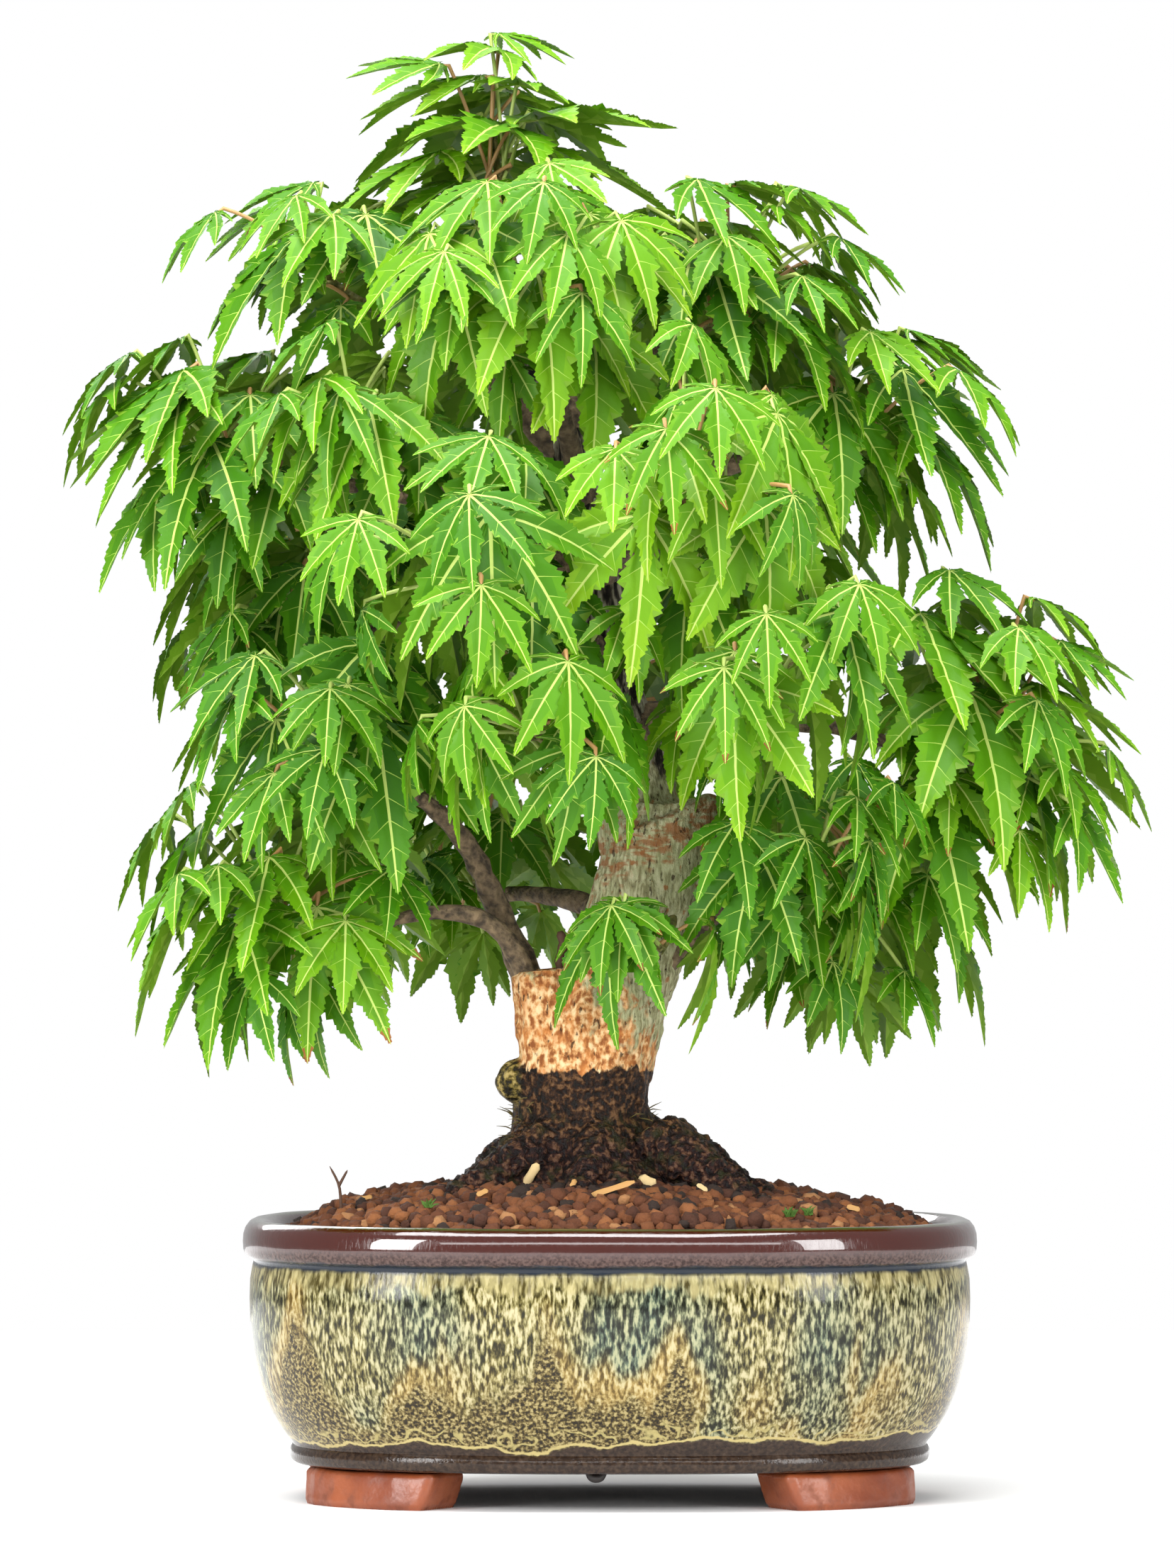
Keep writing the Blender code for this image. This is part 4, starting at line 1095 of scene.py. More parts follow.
def treeOf(build):
    # a search tree over the faces that build adds to a mesh, with its box
    bm = bmesh.new()
    build(bm)
    bmesh.ops.triangulate(bm, faces=bm.faces)
    found = BVHTree.FromBMesh(bm)
    points = [v.co.copy() for v in bm.verts]
    low = Vector([min(p[k] for p in points) for k in range(3)])
    high = Vector([max(p[k] for p in points) for k in range(3)])
    bm.free()
    return low, high, found


def meets(one, others):
    low, high, found = one
    for otherLow, otherHigh, other in others:
        apart = any(low[k] > otherHigh[k] or otherLow[k] > high[k] for k in range(3))
        if not apart and found.overlap(other):
            return True
    return False


def directions(count, rng, out):
    spread = []
    total = count
    while len(spread) < count:
        total += 1
        start = rng.random() * 2 * math.pi
        spread = []
        for i in range(total):
            z = 1 - 2 * (i + 0.5) / total
            flat = math.sqrt(1 - z * z)
            turn = start + i * math.pi * (3 - math.sqrt(5))
            d = Vector((math.cos(turn) * flat, math.sin(turn) * flat, z))
            if z > growth["lowest"] and d.dot(out) > growth["nearest"]:
                spread.append(d)
    return spread[:count]


def leafTowards(space, d, rng, rule):
    lobe = space.lobe * rng.uniform(*rule["sizes"])
    flat = Vector((d.x, d.y, 0)) * growth["outFromMass"] + space.out * growth["outFromTrunk"]
    flat.normalize()
    flat.rotate(Quaternion(up, rng.uniform(-growth["turnSpread"], growth["turnSpread"])))
    spread = rng.uniform(-growth["slopeSpread"], growth["slopeSpread"])
    slope = math.radians(space.slope - growth["slopeUp"] * d.z + spread)
    forward = flat * math.cos(slope) - up * math.sin(slope)
    normal = flat * math.sin(slope) + up * math.cos(slope)
    roll = rng.uniform(-growth["rollSpread"], growth["rollSpread"])
    normal = (normal + normal.cross(forward) * roll).normalized()
    r = 1 / space.stretch(d)
    centre = space.middle + d * max(r - 0.5 * lobe, growth["leastDepth"] * r) * rng.uniform(*rule["depth"])
    place = centre - forward * (growth["centre"] * lobe)
    return Leaf(place, forward, normal, lobe, rng.uniform(*growth["bend"]))


def petioleMiddle(start, leaf):
    reach = (leaf.heel() - start).length
    return (start + leaf.heel()) / 2 + up * (growth["petioleArch"] * reach) - leaf.normal * (
        growth["petioleDip"] * reach)


def findLeaf(space, d, start, rng, rule, bladeClear, stalkClear):
    radius = growth["petiole"]
    for _ in range(rule["tries"]):
        stray = Vector([rng.uniform(-1, 1) for _ in range(3)])
        leaf = leafTowards(space, (d + stray * rule["stray"]).normalized(), rng, rule)
        if max(space.stretch(p - space.middle) for p in leaf.outline()) > rule["margin"]:
            continue
        blade = treeOf(lambda bm: leaf.addTo(bm, rule["thickness"]))
        if meets(blade, bladeClear):
            continue
        line = arc(start, petioleMiddle(start, leaf), leaf.heel(), 2)
        near = line[0] + (line[1] - line[0]).normalized() * (1.6 * growth["twig"])
        far = line[-1] + (line[-2] - line[-1]).normalized() * (3 * radius)
        free = [near, *line[1:-1], far]
        stalk = treeOf(lambda bm: tube(bm, free, [radius] * len(free), 3, gap))
        if not meets(stalk, [*stalkClear, blade]):
            return leaf, blade, stalk
    return None


def growMass(space, others):
    # the stem, its twigs and the leaves that the CAD mass has too
    rng = random.Random(space.seed)
    spread = directions(space.leaves, rng, space.out)
    spread.sort(key=lambda d: math.atan2(d.y, d.x))
    end = space.middle + space.heading * (growth["stemPastMiddle"] * min(space.radii))
    straight = growth["stemStraight"] * (end - space.root).length
    space.stem = [space.root, space.root + space.heading * straight, end]
    radii = [growth["stem"], (growth["stem"] + growth["twig"]) / 2, growth["twig"]]
    space.wood = [treeOf(lambda bm: tube(bm, space.stem, radii, 4, gap))]
    onTwig = len(growth["stalkPlaces"])
    groups = [spread[i:i + onTwig] for i in range(0, len(spread), onTwig)]
    space.twigs = []
    first, last = growth["twigFeet"]
    for g, group in enumerate(groups):
        foot = pointAlong(space.stem, first + (last - first) * (g + 1) / len(groups))
        tip = foot + sum(group, Vector()).normalized() * (growth["twigReach"] * min(space.radii))
        tree = treeOf(lambda bm: tube(bm, [foot, tip], [growth["twig"]] * 2, 4, gap))
        if not meets(tree, others):
            space.twigs.append((foot, tip, group, tree))
            space.wood.append(tree)
    space.grown = []
    space.found = []  # each leaf, where its stalk starts, and whether it is one of the second round
    for foot, tip, group, twigTree in space.twigs:
        clearOf = others + [tree for tree in space.wood if tree is not twigTree]
        for share, d in zip(growth["stalkPlaces"], group):
            start = foot.lerp(tip, share)
            clear = clearOf + space.grown
            made = findLeaf(space, d, start, rng, growth, [*clear, twigTree], clear)
            if made:
                leaf, blade, stalk = made
                space.found.append((leaf, start, 0))
                space.grown += [blade, stalk]


def fillMass(space, others, wood):
    # more leaves in between, which the CAD mass leaves out
    rng = random.Random(space.seed * 100 + fullness["seed"])
    added = []
    for foot, tip, group, twigTree in space.twigs:
        for i, share in enumerate(fullness["stalkPlaces"]):
            start = foot.lerp(tip, share)
            clear = [*others, *added, *space.wood]
            made = findLeaf(space, group[i % len(group)], start, rng, fullness, clear, wood)
            if made:
                space.found.append((made[0], start, 1))
                added.append(made[1])
    return added


def growCrown():
    spaces = [Space(name, row) for name, row in masses.items()]
    points, radii = leaderPoints()
    sections = [trunkRing(z * mm, x * mm, y * mm, r * mm, gap) for z, x, y, r in trunk["sections"]]
    low, high, radius = trunk["stub"]
    stub = [Vector(low) * mm, Vector(high) * mm + up * gap]
    wood = [
        treeOf(lambda bm: loft(bm, sections)),
        treeOf(lambda bm: tube(bm, points, radii, trunk["leaderSides"], gap)),
        treeOf(lambda bm: tube(bm, stub, [radius * mm] * 2, trunk["sides"], gap)),
    ]
    for space in spaces:
        if space.bough is None:
            continue
        steps = growth["boughSteps"]
        taper = (growth["boughTip"] - space.boughRadius) / steps
        boughRadii = [space.boughRadius + taper * i for i in range(steps + 1)]
        wood.append(treeOf(lambda bm: tube(bm, space.bough, boughRadii, growth["boughSides"], gap)))
    grown = list(wood)
    for space in spaces:
        growMass(space, grown)
        grown += space.wood + space.grown
    print("leaves of the CAD masses:", sum(len(space.found) for space in spaces))
    for space in spaces:
        own = set(id(tree) for tree in space.wood)
        others = [tree for tree in grown if id(tree) not in own]
        grown += fillMass(space, others, wood)
    # the second round is thinned evenly to the count that the mesh can carry
    extras = [(space, row) for space in spaces for row in space.found if row[2]]
    random.Random(fullness["seed"]).shuffle(extras)
    for space, row in extras[fullness["most"]:]:
        space.found.remove(row)
    print("leaves in all:", sum(len(space.found) for space in spaces))
    return spaces


spaces = growCrown()


# Boughs, twigs and leaf stalks
limbs = {
    "boughSides": 12,
    "boughSteps": 26,
    "crook": 1.1 * mm,
    "knots": 0.28,
    "collar": 1.5,
    "stalkSteps": 7,
    "stalkSides": 6,
    "stalkRadius": 0.55 * mm,
    "greenStalks": 0.7,  # the others are reddish
    "seed": 9,
}


def limbMaterial(name, dark, light, roughness):
    skin = Paint(name, fromScreen(*light), roughness)
    grain = skin.patches(skin.place, 420, 0.5, 0.3, 5)
    skin.feed("Base Color", skin.mix(grain, fromScreen(*dark), fromScreen(*light)))
    return skin.bump(grain, 0.9, 0.0008)


def plainMaterial(name, tone, roughness, scale=900.0, strength=0.25, **sockets):
    # a plain base colour, with fine relief and an uneven sheen
    skin = Paint(name, fromScreen(*tone), roughness, **sockets)
    skin.feed("Roughness", skin.scaled(skin.noise(skin.place, 120), 0.3, roughness - 0.15))
    return skin.bump(skin.noise(skin.place, scale, 3), strength, 0.0003)


def addBough(boughs, space):
    # a crooked, knotted limb with a collar where it leaves the trunk
    points, radii = [], []
    for i, p in enumerate(arc(*space.curve, limbs["boughSteps"])):
        share = i / limbs["boughSteps"]
        wander = math.sin(math.pi * share) ** 0.7 * limbs["crook"]
        shift = Vector([noise.noise(p * 55 + Vector((k * 9.1, space.seed, 0))) for k in range(3)])
        knot = 1 + limbs["knots"] * noise.noise(p * 210 + Vector((0, 0, space.seed)))
        collar = 1 + (limbs["collar"] - 1) * math.exp(-share * 7)
        radius = space.boughRadius + (growth["boughTip"] - space.boughRadius) * share
        points.append(p + shift * wander)
        radii.append(radius * knot * collar)
    boughs.addLimb(points, radii, limbs["boughSides"])


def makeLimbs():
    boughs, twigs, stalks = Gathered(), Gathered(), Gathered()
    rng = random.Random(limbs["seed"])
    thick, thin = growth["twig"], limbs["stalkRadius"]
    for space in spaces:
        if space.bough is not None:
            addBough(boughs, space)
        stem = smoothRows([tuple(p) for p in ([space.root - space.heading * mm] + space.stem)], 12)
        twigs.addLimb(stem, np.linspace(growth["boughTip"], thick * 0.8, 12), 8, pointed=True)
        for foot, tip, _, _ in space.twigs:
            bend = (foot + tip) / 2 + Vector([rng.uniform(-0.5, 0.5) for _ in range(3)]) * mm
            twigs.addLimb(arc(foot, bend, tip, 5), np.linspace(thick, thick * 0.7, 6), 7, pointed=True)
        for leaf, start, _ in space.found:
            line = arc(start, petioleMiddle(start, leaf), leaf.heel(), limbs["stalkSteps"])
            line.append(leaf.place - leaf.normal * 0.5 * mm)
            radii = [thin * 1.5, *[thin] * (len(line) - 3), thin * 1.1, thin * 0.9]
            stalks.addLimb(line, radii, limbs["stalkSides"], int(rng.random() >= limbs["greenStalks"]))
    bough = boughs.finish("boughLimbs", [limbMaterial("boughBark", (60, 50, 38), (132, 112, 84), 0.85)])
    finishPiece(bough, "bark", *["bough_" + space.name for space in spaces if space.bough is not None])
    twig = twigs.finish("youngTwigs", [limbMaterial("twigBark", (92, 96, 44), (150, 140, 78), 0.6)])
    finishPiece(twig, "bark")
    stalk = stalks.finish("leafStalks", [plainMaterial("stalkGreen", (166, 186, 92), 0.45),
                                         plainMaterial("stalkRed", (170, 130, 78), 0.45)])
    finishPiece(stalk, "leaf")


makeLimbs()
print("limbs made")


# Small things on the soil and the bark
bits = {
    # place across and up as the front view shows it, length, width and turn, in millimetres and degrees
    "chips": ((-20.2, 83.4, 7.2, 2.6, 58, 0), (9.8, 81.4, 4.8, 3.0, -28, 0), (0.6, 79.4, 12.5, 1.8, 14, 1),
              (-33.0, 78.4, 3.2, 1.6, 30, 1), (24.0, 79.6, 3.4, 1.5, -40, 0), (-9.5, 80.8, 2.6, 1.5, 70, 1),
              (-63.0, 77.0, 3.0, 1.4, 20, 1), (63.0, 74.5, 3.4, 1.6, -15, 1)),
    "flatness": 0.6,
    "forkedTwig": (-69.5, 75.6),
    "mossTufts": ((51.4, 73.0), (46.5, 72.6), (-47.0, 75.0)),
    "blades": 16,
    # side of the trunk in degrees, height range in millimetres and count of the fine hairs
    "hairs": ((150, 225, 88, 104, 26), (-40, 20, 92, 100, 9)),
    # the shoot on the stub, with its radii, and the drip of glaze under the pot, in millimetres
    "shoot": ((-12.4, -4.0, 135.0), (-12.9, -4.3, 139.5), (-12.1, -4.0, 143.0), (-12.9, -4.3, 146.5)),
    "shootRadii": (1.6, 1.4, 1.2, 1.5, 1.2, 1.0, 1.3, 1.4, 1.0, 1.1, 1.2, 0.7),
    "drip": ((-5.4, -57.4, 10.2), (-4.8, -57.9, 8.9), (-3.6, -58.2, 8.5), (-2.4, -57.9, 8.9),
             (-1.8, -57.4, 10.2)),
    "dripRadius": 1.1 * mm,
    "seed": 23,
}


def seenFromFront(across, height):
    # the point of the trunk or soil that the camera sees there, and which way the surface faces
    eye = Vector(view["place"])
    aim = (Vector((across, 0, height)) * mm - eye).normalized()
    hit = bpy.context.scene.ray_cast(bpy.context.view_layer.depsgraph, eye, aim)
    return hit[1], hit[2]


def addChip(wood, across, height, length, width, turn, slot):
    place, facing = seenFromFront(across, height)
    facing = (facing + Vector((0, -1, 0.3))).normalized()
    side = (Vector((1, 0, 0)) - facing * facing.x).normalized()
    along = side * math.cos(math.radians(turn)) + facing.cross(side) * math.sin(math.radians(turn))
    middle = place + facing * 0.8 * mm
    line = [middle + along * length * mm * share for share in (-0.5, -0.3, 0.05, 0.35, 0.5)]
    wood.addLimb(line, [width / 2 * mm * share for share in (0.55, 1.05, 0.9, 1.0, 0.4)], 5, slot)
    away = (wood.points[-1] - np.array(middle)) @ np.array(facing)
    wood.points[-1] -= np.outer(away * bits["flatness"], np.array(facing))


def makeBits():
    rng = random.Random(bits["seed"])
    bpy.context.view_layer.update()
    wood, green, drip = Gathered(), Gathered(), Gathered()
    for chip in bits["chips"]:
        addChip(wood, *chip)
    foot, _ = seenFromFront(*bits["forkedTwig"])
    fork = foot + Vector((-0.6, 0, 5)) * mm
    tines = (foot - up * mm, fork, fork + Vector((-2.4, 0, 5)) * mm), (fork, fork + Vector((2.2, 0, 4)) * mm)
    for line in tines:
        wood.addLimb(smoothRows(line, 8), np.linspace(0.5, 0.3, 8) * mm, 6, 2, pointed=True)
    shoot = bits["shootRadii"]
    wood.addLimb(smoothRows(bits["shoot"], len(shoot)) * mm, [radius * mm for radius in shoot], 8, 2)
    for tuft in bits["mossTufts"]:
        foot, _ = seenFromFront(*tuft)
        for _ in range(bits["blades"]):
            lean = Vector((rng.uniform(-2.2, 2.2), rng.uniform(-1.5, 1.5), rng.uniform(0.8, 2.6))) * mm
            start = foot + Vector((rng.uniform(-1, 1), 0, 0)) * mm
            line = [start, start + lean * 0.5 + up * 0.3 * mm, start + lean]
            green.addLimb(line, [0.3 * mm] * 3, 5, 0, pointed=True)
    heights, _, _, radii = zip(*trunk["sections"])
    for first, last, low, high, count in bits["hairs"]:
        for _ in range(count):
            turn, z = math.radians(rng.uniform(first, last)), rng.uniform(low, high)
            out = Vector((math.cos(turn), math.sin(turn), 0))
            start = trunkMiddle(z * mm) + out * (float(np.interp(z, heights, radii)) - 0.8) * mm
            start.z = z * mm
            reach = out * rng.uniform(2.5, 5.5) * mm + up * rng.uniform(-1.5, 3.0) * mm
            line = [start, start + reach * 0.5 + up * rng.uniform(0, 1) * mm, start + reach]
            green.addLimb(line, [0.16 * mm] * 3, 4, 1, pointed=True)
    drip.addLimb(smoothRows(bits["drip"], 16) * mm, [bits["dripRadius"]] * 16, 10)
    finishPiece(wood.finish("woodBits", [
        plainMaterial("paleChip", (204, 178, 128), 0.8, 700.0, 0.6),
        plainMaterial("straw", (178, 134, 76), 0.7, 700.0, 0.6),
        plainMaterial("darkTwig", (74, 48, 30), 0.75, 700.0, 0.8),
    ]), "bark")
    finishPiece(green.finish("mossAndHairs", [
        plainMaterial("moss", (66, 100, 26), 0.8), plainMaterial("hair", (96, 84, 42), 0.7),
    ]), "leaf")
    finishPiece(drip.finish("glazeDrip", [plainMaterial("darkDrip", (22, 14, 10), 0.6)]), "glaze")


makeBits()
print("bits made")


# The leaves: seven toothed lobes, each built from the cells between its side veins
leafShape = {
    # angle from the middle lobe, length as a share of it, and how many large teeth a side has
    "lobes": ((-128, 0.34, 3), (-82, 0.70, 5), (-41, 0.92, 6), (0, 1.0, 6), (41, 0.92, 6), (82, 0.70, 5),
              (128, 0.34, 3)),
    # half of a lobe's width where its large teeth end: share of its length along, and out
    "width": ((0.0, 0.02), (0.10, 0.048), (0.20, 0.084), (0.30, 0.132), (0.38, 0.168), (0.46, 0.176),
              (0.56, 0.152), (0.66, 0.118), (0.76, 0.088), (0.88, 0.055), (1.0, 0.0)),
    "heart": 0.03,  # where the midribs start
    "joined": (0.045, 0.12, 0.19),  # points on the line between two lobes, before they part
    "sinus": 0.25,  # where two lobes part
    "outerHalf": 22,  # half of the angle that the outermost lobes fill on their free side
    "firstVein": 0.15,
    "lastVein": 0.87,
    "veinCrowding": 0.92,  # under 1, the side veins stand closer towards the tip
    "veinStray": 0.012,
    "endTooth": (0.955, 0.97),  # where the lobe's end tooth starts, and how far out the others may reach
    "veinLean": (0.75, 0.95),  # how far forward a side vein runs for each step out, at base and tip
    "tooth": 0.34,  # how deep the notch over a large tooth is, as a share of the width there
    "smallTooth": 0.017,
    "rows": (0.25, 0.50),  # how far out the two lines of points between midrib and teeth lie
    "midrib": (0.012, 0.0042),
    "veinWidth": 0.007,
    "bulge": 0.014,
    "thickness": 0.007,
    "variants": 7,
    "widths": (0.88, 1.22),  # how much each variant's lobes differ in width
    # how far the lobes of one leaf differ: angle in degrees, length, bend, and where their waves start
    "habit": ((-3.5, 3.5), (0.93, 1.05), (-0.07, 0.09), (0, 6.3)),
    "wave": 0.012,
    "sprayTones": 2.2,  # how many steps of tone the sprays differ by, and then the leaves of one spray
    "leafTones": 1.2,
    "paintedTopLight": 1.6,  # how many steps lighter the crown's top is painted, as painted light from above
    "brownTips": 0.09,
    "mostTriangles": 195000,  # in one spray of leaves
    "seed": 17,
}
# blade greens from dark to light, with which the crown's top gets painted light, then vein, midrib, the two
# undersides and two browns
leafTones = ((42, 92, 1), (50, 103, 1), (60, 114, 1), (71, 124, 2), (83, 134, 3), (96, 144, 6),
             (110, 154, 12), (125, 164, 24), (140, 174, 42), (148, 180, 72), (176, 196, 100),
             (100, 140, 28), (120, 154, 48), (112, 62, 26), (134, 86, 38))
bladeTones = 9
# zones 0 to 7 run from the middle of the blade to its teeth, and the others have one tone each
zoneHeart, zoneTip, zoneVein, zoneMidrib, zoneUnder, zoneUnderVein = 2, 7, 10, 11, 12, 13
fixedTones = {zoneVein: 9, zoneMidrib: 10, zoneUnder: 11, zoneUnderVein: 12}
brownTones = (13, 14)


def between(one, two, share):
    return one[0] + (two[0] - one[0]) * share, one[1] + (two[1] - one[1]) * share


def drawLobe(rng, teeth, half, width):
    # the half of one lobe to its left: rows of (s, u, lift) for each cell, from the midrib outwards
    shape = leafShape
    shares, halves = zip(*shape["width"])
    first, last = shape["firstVein"], shape["lastVein"]
    crowding, stray = shape["veinCrowding"], shape["veinStray"]
    starts = [first + (last - first) * (k / (teeth - 1)) ** crowding + rng.uniform(-stray, stray)
              for k in range(teeth)]
    endStart, furthest = shape["endTooth"]
    tips = []
    for start in starts:
        lean = shape["veinLean"][0] + (shape["veinLean"][1] - shape["veinLean"][0]) * start
        s = start
        for _ in range(4):
            out = float(np.interp(s, shares, halves)) * width
            s = min(start + out * lean, furthest)
        tips.append((s, out * rng.uniform(0.92, 1.1)))
    starts.append(endStart)
    tips.append((1.0, 0.0))
    slope = math.tan(math.radians(half))
    cells = []
    for k in range(teeth + 1):
        near = shape["heart"] if k == 0 else starts[k - 1] + shape["veinWidth"] / 2
        far = starts[k] - (shape["veinWidth"] / 2 if k < teeth else 0)
        rib = [np.interp(s, (0, 1), shape["midrib"]) for s in (near, (near + far) / 2, far)]
        a = [(near, rib[0]), ((near + far) / 2, rib[1]), (far, rib[2])]
        tip = tips[k]
        if k == 0:
            sinus = shape["sinus"]
            edge = [(r, r * slope) for r in (*shape["joined"], sinus)]
            waist = (sinus + 0.02, sinus * slope * 0.80)
            step = (tip[0] * 0.45 + waist[0] * 0.55, tip[1] * 0.5 + waist[1] * 0.5 + 0.012)
            edge += [waist, step, tip]
            before = edge[0]
        else:
            before = tips[k - 1]
            deep = 1 - shape["tooth"] * rng.uniform(0.8, 1.25)
            notch = (before[0] + 0.022, before[1] * deep)
            rise = shape["smallTooth"] * (1 - 0.5 * k / teeth)
            edge = [before, notch]
            for share in (0.34, 0.68):
                s = notch[0] + (tip[0] - notch[0]) * share
                u = notch[1] + (tip[1] - notch[1]) * share**0.75
                edge.append((s + 0.008, u + rise * rng.uniform(0.7, 1.3)))
                edge.append((s + 0.022 * (1 - 0.6 * k / teeth), max(u - rise * 0.3, 0.002)))
            edge.append(tip)
        bulge = shape["bulge"] * (1 - 0.55 * k / teeth)
        first, second = shape["rows"]
        b0, b2 = between(a[0], before, first), between(a[2], tip, first)
        b1 = between(b0, b2, 0.5)
        c0, c3 = between(a[0], before, second), between(a[2], tip, second)
        c1, c2 = between(c0, c3, 0.32), between(c0, c3, 0.68)
        cells.append({
            "a": [(*a[0], 0.0), (*a[1], bulge * 0.5), (*a[2], 0.0)],
            "b": [(*b0, bulge * 0.25), (*b1, bulge), (*b2, bulge * 0.25)],
            "c": [(*c0, 0.0), (*c1, bulge * 0.65), (*c2, bulge * 0.65), (*c3, 0.0)],
            "d": [(*d, 0.0) for d in edge],
        })
    return cells


def drawLeaf(rng, width, fewer=0):
    # one leaf's points as (lobe, s, u, lift), twice over where two lobes share a point, and its faces
    points, twins, faces, zones = [], [], [], []
    known = {}
    rows = [(angle, share, teeth - fewer * (teeth + 1) // 3) for angle, share, teeth in leafShape["lobes"]]

    def corner(lobe, s, u, lift, twin=None):
        key = (lobe, round(s, 6), round(u, 6), round(lift, 6))
        if key not in known:
            known[key] = len(points)
            points.append((lobe, s, u, lift))
            twins.append(twin or (lobe, s, u, lift))
        return known[key]

    def face(zone, a, b, c, flip):
        if a == b or b == c or a == c:
            return
        faces.append((a, c, b) if flip else (a, b, c))
        zones.append(zone)

    count = len(rows)
    centre = corner(count // 2, 0.0, 0.0, 0.004)
    under = corner(count // 2, 0.0, 0.0, -0.016)
    halves = {}
    for lobe, (angle, share, teeth) in enumerate(rows):
        for side in (1, -1):
            other = lobe + side
            half = abs(rows[other][0] - angle) / 2 if 0 <= other < count else leafShape["outerHalf"]
            halves[lobe, side] = (drawLobe(rng, teeth, half, width), half, other)
    ribs = {}
    joints = {}
    for (lobe, side), (cells, half, other) in halves.items():
        flip = side < 0
        angle, share, teeth = rows[lobe]
        thin = -leafShape["thickness"]

        def at(p):
            return corner(lobe, p[0], p[1] * side, p[2])

        def shared(k, i, p):
            # a point on the line between two lobes, at the same distance from the middle in both
            if k or i > 3 or not 0 <= other < count:
                return at(p)
            key = (min(lobe, other), max(lobe, other), i)
            if key not in joints:
                otherShare = rows[other][1]
                reach = p[0] * min(share, otherShare)
                slope = math.tan(math.radians(half))
                own = (lobe, reach / share, reach / share * slope * side, 0.0)
                twin = (other, reach / otherShare, -reach / otherShare * slope * side, 0.0)
                joints[key] = corner(*own, twin)
            return joints[key]

        for k, cell in enumerate(cells):
            a = [at(p) for p in cell["a"]]
            b = [at(p) for p in cell["b"]]
            c = [at(p) for p in cell["c"]]
            d = [shared(k, i, p) for i, p in enumerate(cell["d"])]
            inner = min(k * 6 // (teeth + 1), 5)
            outer = zoneTip if k == teeth else min(inner + 1, 6)
            for zoneNow, x, y, z in (
                (inner, a[0], a[1], b[1]), (inner, a[0], b[1], b[0]), (inner, a[1], a[2], b[2]),
                (inner, a[1], b[2], b[1]), (inner, b[0], b[1], c[1]), (inner, b[0], c[1], c[0]),
                (inner, b[1], c[2], c[1]), (inner, b[1], b[2], c[3]), (inner, b[1], c[3], c[2]),
                (outer, c[0], d[1], d[0]), (outer, c[0], c[1], d[1]), (outer, c[1], d[2], d[1]),
                (outer, c[1], d[3], d[2]), (outer, c[1], c[2], d[3]), (outer, c[2], d[4], d[3]),
                (outer, c[2], d[5], d[4]), (outer, c[2], c[3], d[5]), (outer, c[3], d[6], d[5]),
            ):
                face(zoneNow, x, y, z, flip)
            if k:
                before = halves[lobe, side][0][k - 1]
                pa, pb, pc = at(before["a"][2]), at(before["b"][2]), at(before["c"][3])
                for x, y, z in ((pa, a[0], b[0]), (pa, b[0], pb), (pb, b[0], c[0]), (pb, c[0], pc),
                                (pc, c[0], d[0])):
                    face(zoneVein, x, y, z, flip)
            middle = cell["b"][1]
            hub = corner(lobe, middle[0], middle[1] * side, thin + middle[2] * 0.8)
            ribNear = under if k == 0 else corner(lobe, cells[k - 1]["a"][2][0], 0.0, thin * 1.8)
            ribFar = corner(lobe, cell["a"][2][0], 0.0, thin * 1.8) if k < teeth else d[6]
            ring = [ribNear, ribFar, *reversed(d)] if ribFar != d[6] else [ribNear, *reversed(d)]
            for i, one in enumerate(ring):
                two = ring[(i + 1) % len(ring)]
                face(zoneUnderVein if i == 0 else zoneUnder, hub, two, one, flip)
            ribs.setdefault(lobe, {})[side] = ribs.get(lobe, {}).get(side, []) + a
            if k == teeth:
                ribs[lobe][side] += [b[2], c[3], d[6]]
            if k == 0:
                ribs[lobe][side, "start"] = (a[0], d[0], b[0], c[0])
    for lobe in range(count):
        left, right = ribs[lobe][1], ribs[lobe][-1]
        for i in range(len(left) - 1):
            face(zoneMidrib, right[i], right[i + 1], left[i + 1], False)
            face(zoneMidrib, right[i], left[i + 1], left[i], False)
        for side in (1, -1):
            a0, d0, b0, c0 = ribs[lobe][side, "start"]
            for one, two in ((a0, b0), (b0, c0), (c0, d0)):
                face(zoneHeart, centre, one, two, side < 0)
        face(zoneMidrib, centre, right[0], left[0], False)
    first, last = ribs[0][-1, "start"][1], ribs[count - 1][1, "start"][1]
    face(zoneHeart, centre, last, first, False)
    face(zoneUnder, under, first, last, False)
    made = {"points": points, "twins": twins, "faces": faces, "zones": zones}
    return {name: np.array(rows) for name, rows in made.items()}


def bendLeaf(table, leaf, habit):
    # the points of one leaf in the air
    lobe = table[:, 0].astype(int)
    s, u, lift = table[:, 1], table[:, 2], table[:, 3]
    angle = np.radians(habit["angles"][lobe]) * (1 - growth["sweep"] * s)
    length = leaf.lobe * habit["shares"][lobe]
    bend = habit["bends"][lobe]
    cos, sin = np.cos(angle)[:, None], np.sin(angle)[:, None]
    forward, across, normal = np.array(leaf.forward), np.array(leaf.across), np.array(leaf.normal)
    along = forward * cos + across * sin
    left = across * cos - forward * sin
    reach = length * s * (1 - growth["bendShortens"] * bend * s)
    drop = length * (growth["cup"] * s + bend * s * s)
    wave = np.sin(s * 9 + habit["phases"][lobe]) * np.sign(u) * np.minimum(np.abs(u) * 12, 1)
    wave = wave * leafShape["wave"]
    rise = np.abs(u) * length * growth["fold"] - drop + (lift + wave * s) * leaf.lobe
    points = np.array(leaf.place) + along * reach[:, None] + left * (u * length)[:, None]
    return points + normal * rise[:, None]


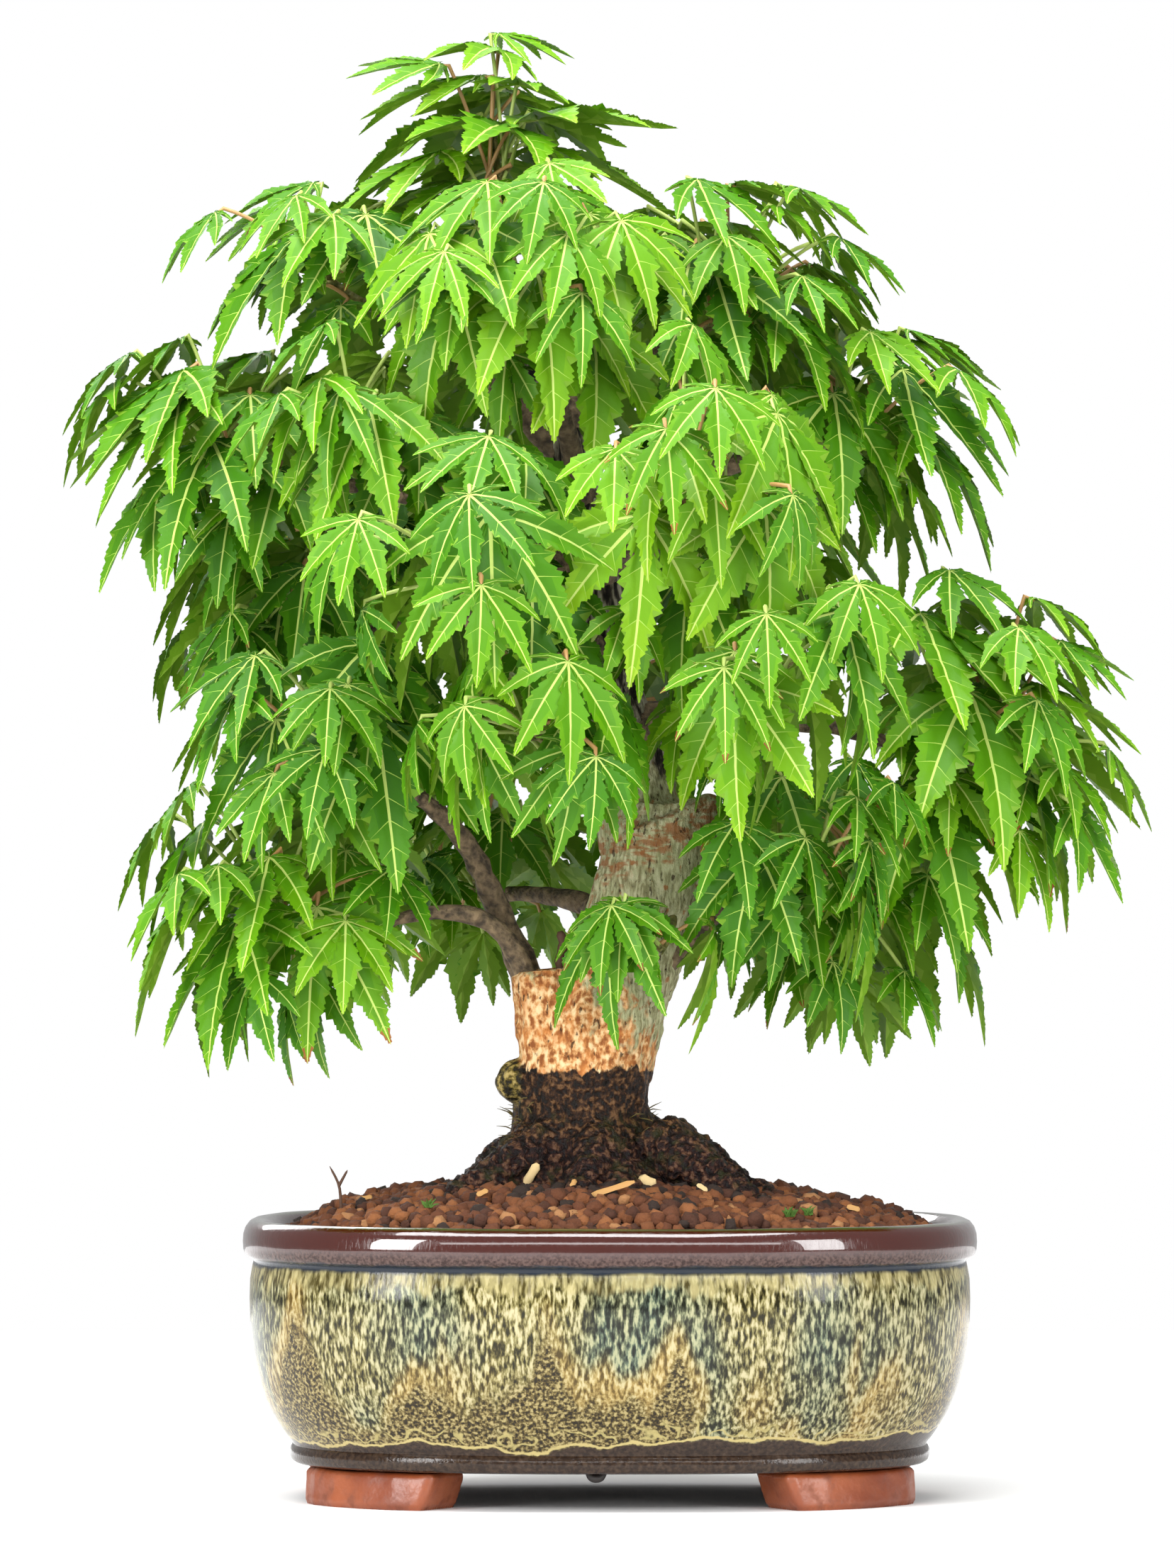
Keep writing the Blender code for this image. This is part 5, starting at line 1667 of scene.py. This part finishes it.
def makeLeaves():
    rng = random.Random(leafShape["seed"])
    low, high = leafShape["widths"]
    count = leafShape["variants"]
    widths = [low + (high - low) * i / (count - 1) for i in range(count)]
    variants = [[drawLeaf(rng, width, fewer) for width in widths] for fewer in (0, 1)]
    print("triangles in a leaf:", [len(made[0]["faces"]) for made in variants])
    angles = np.array([row[0] for row in leafShape["lobes"]], float)
    shares = np.array([row[1] for row in leafShape["lobes"]])
    tones = [plainMaterial("leafTone" + str(i), tone, 0.5, Specular_IOR_Level=0.22)
             for i, tone in enumerate(leafTones)]
    heights = [space.middle.z for space in spaces]
    lowest, highest = min(heights), max(heights)
    sprays = [(Gathered(), [])]
    for space in spaces:
        drawn = [rng.choice(variants[extra]) for _, _, extra in space.found]
        count = sum(len(variant["faces"]) for variant in drawn)
        if sum(map(len, sprays[-1][0].faces)) + count > leafShape["mostTriangles"]:
            sprays.append((Gathered(), []))
        spray, nodes = sprays[-1]
        nodes.append("foliage_" + space.name)
        # the higher the mass, the lighter its greens: painted light from above
        topLightSteps = leafShape["paintedTopLight"] * (space.middle.z - lowest) / (highest - lowest)
        sprayTone = rng.uniform(0, leafShape["sprayTones"]) + topLightSteps
        for variant, (leaf, _, _) in zip(drawn, space.found):
            turns, lengths, bends, phases = [
                np.array([rng.uniform(*limits) for _ in angles]) for limits in leafShape["habit"]
            ]
            habit = {"angles": angles + turns, "shares": shares * lengths, "bends": leaf.bend + bends,
                     "phases": phases}
            points = (bendLeaf(variant["points"], leaf, habit) + bendLeaf(variant["twins"], leaf, habit)) / 2
            stray = rng.uniform(-leafShape["leafTones"], leafShape["leafTones"])
            tone = int(max(0, min(4, sprayTone + stray)))
            zones = variant["zones"]
            slots = np.minimum(tone + (zones + 1) // 2, bladeTones - 1)
            if rng.random() < leafShape["brownTips"]:
                slots[zones == zoneTip] = rng.choice(brownTones)
            for zone, fixed in fixedTones.items():
                slots[zones == zone] = fixed
            spray.add(points, variant["faces"], slots)
    for i, (spray, nodes) in enumerate(sprays):
        finishPiece(spray.finish("leafSpray" + str(i + 1), tones, 42), "leaf", *nodes)


makeLeaves()
print("leaves made")
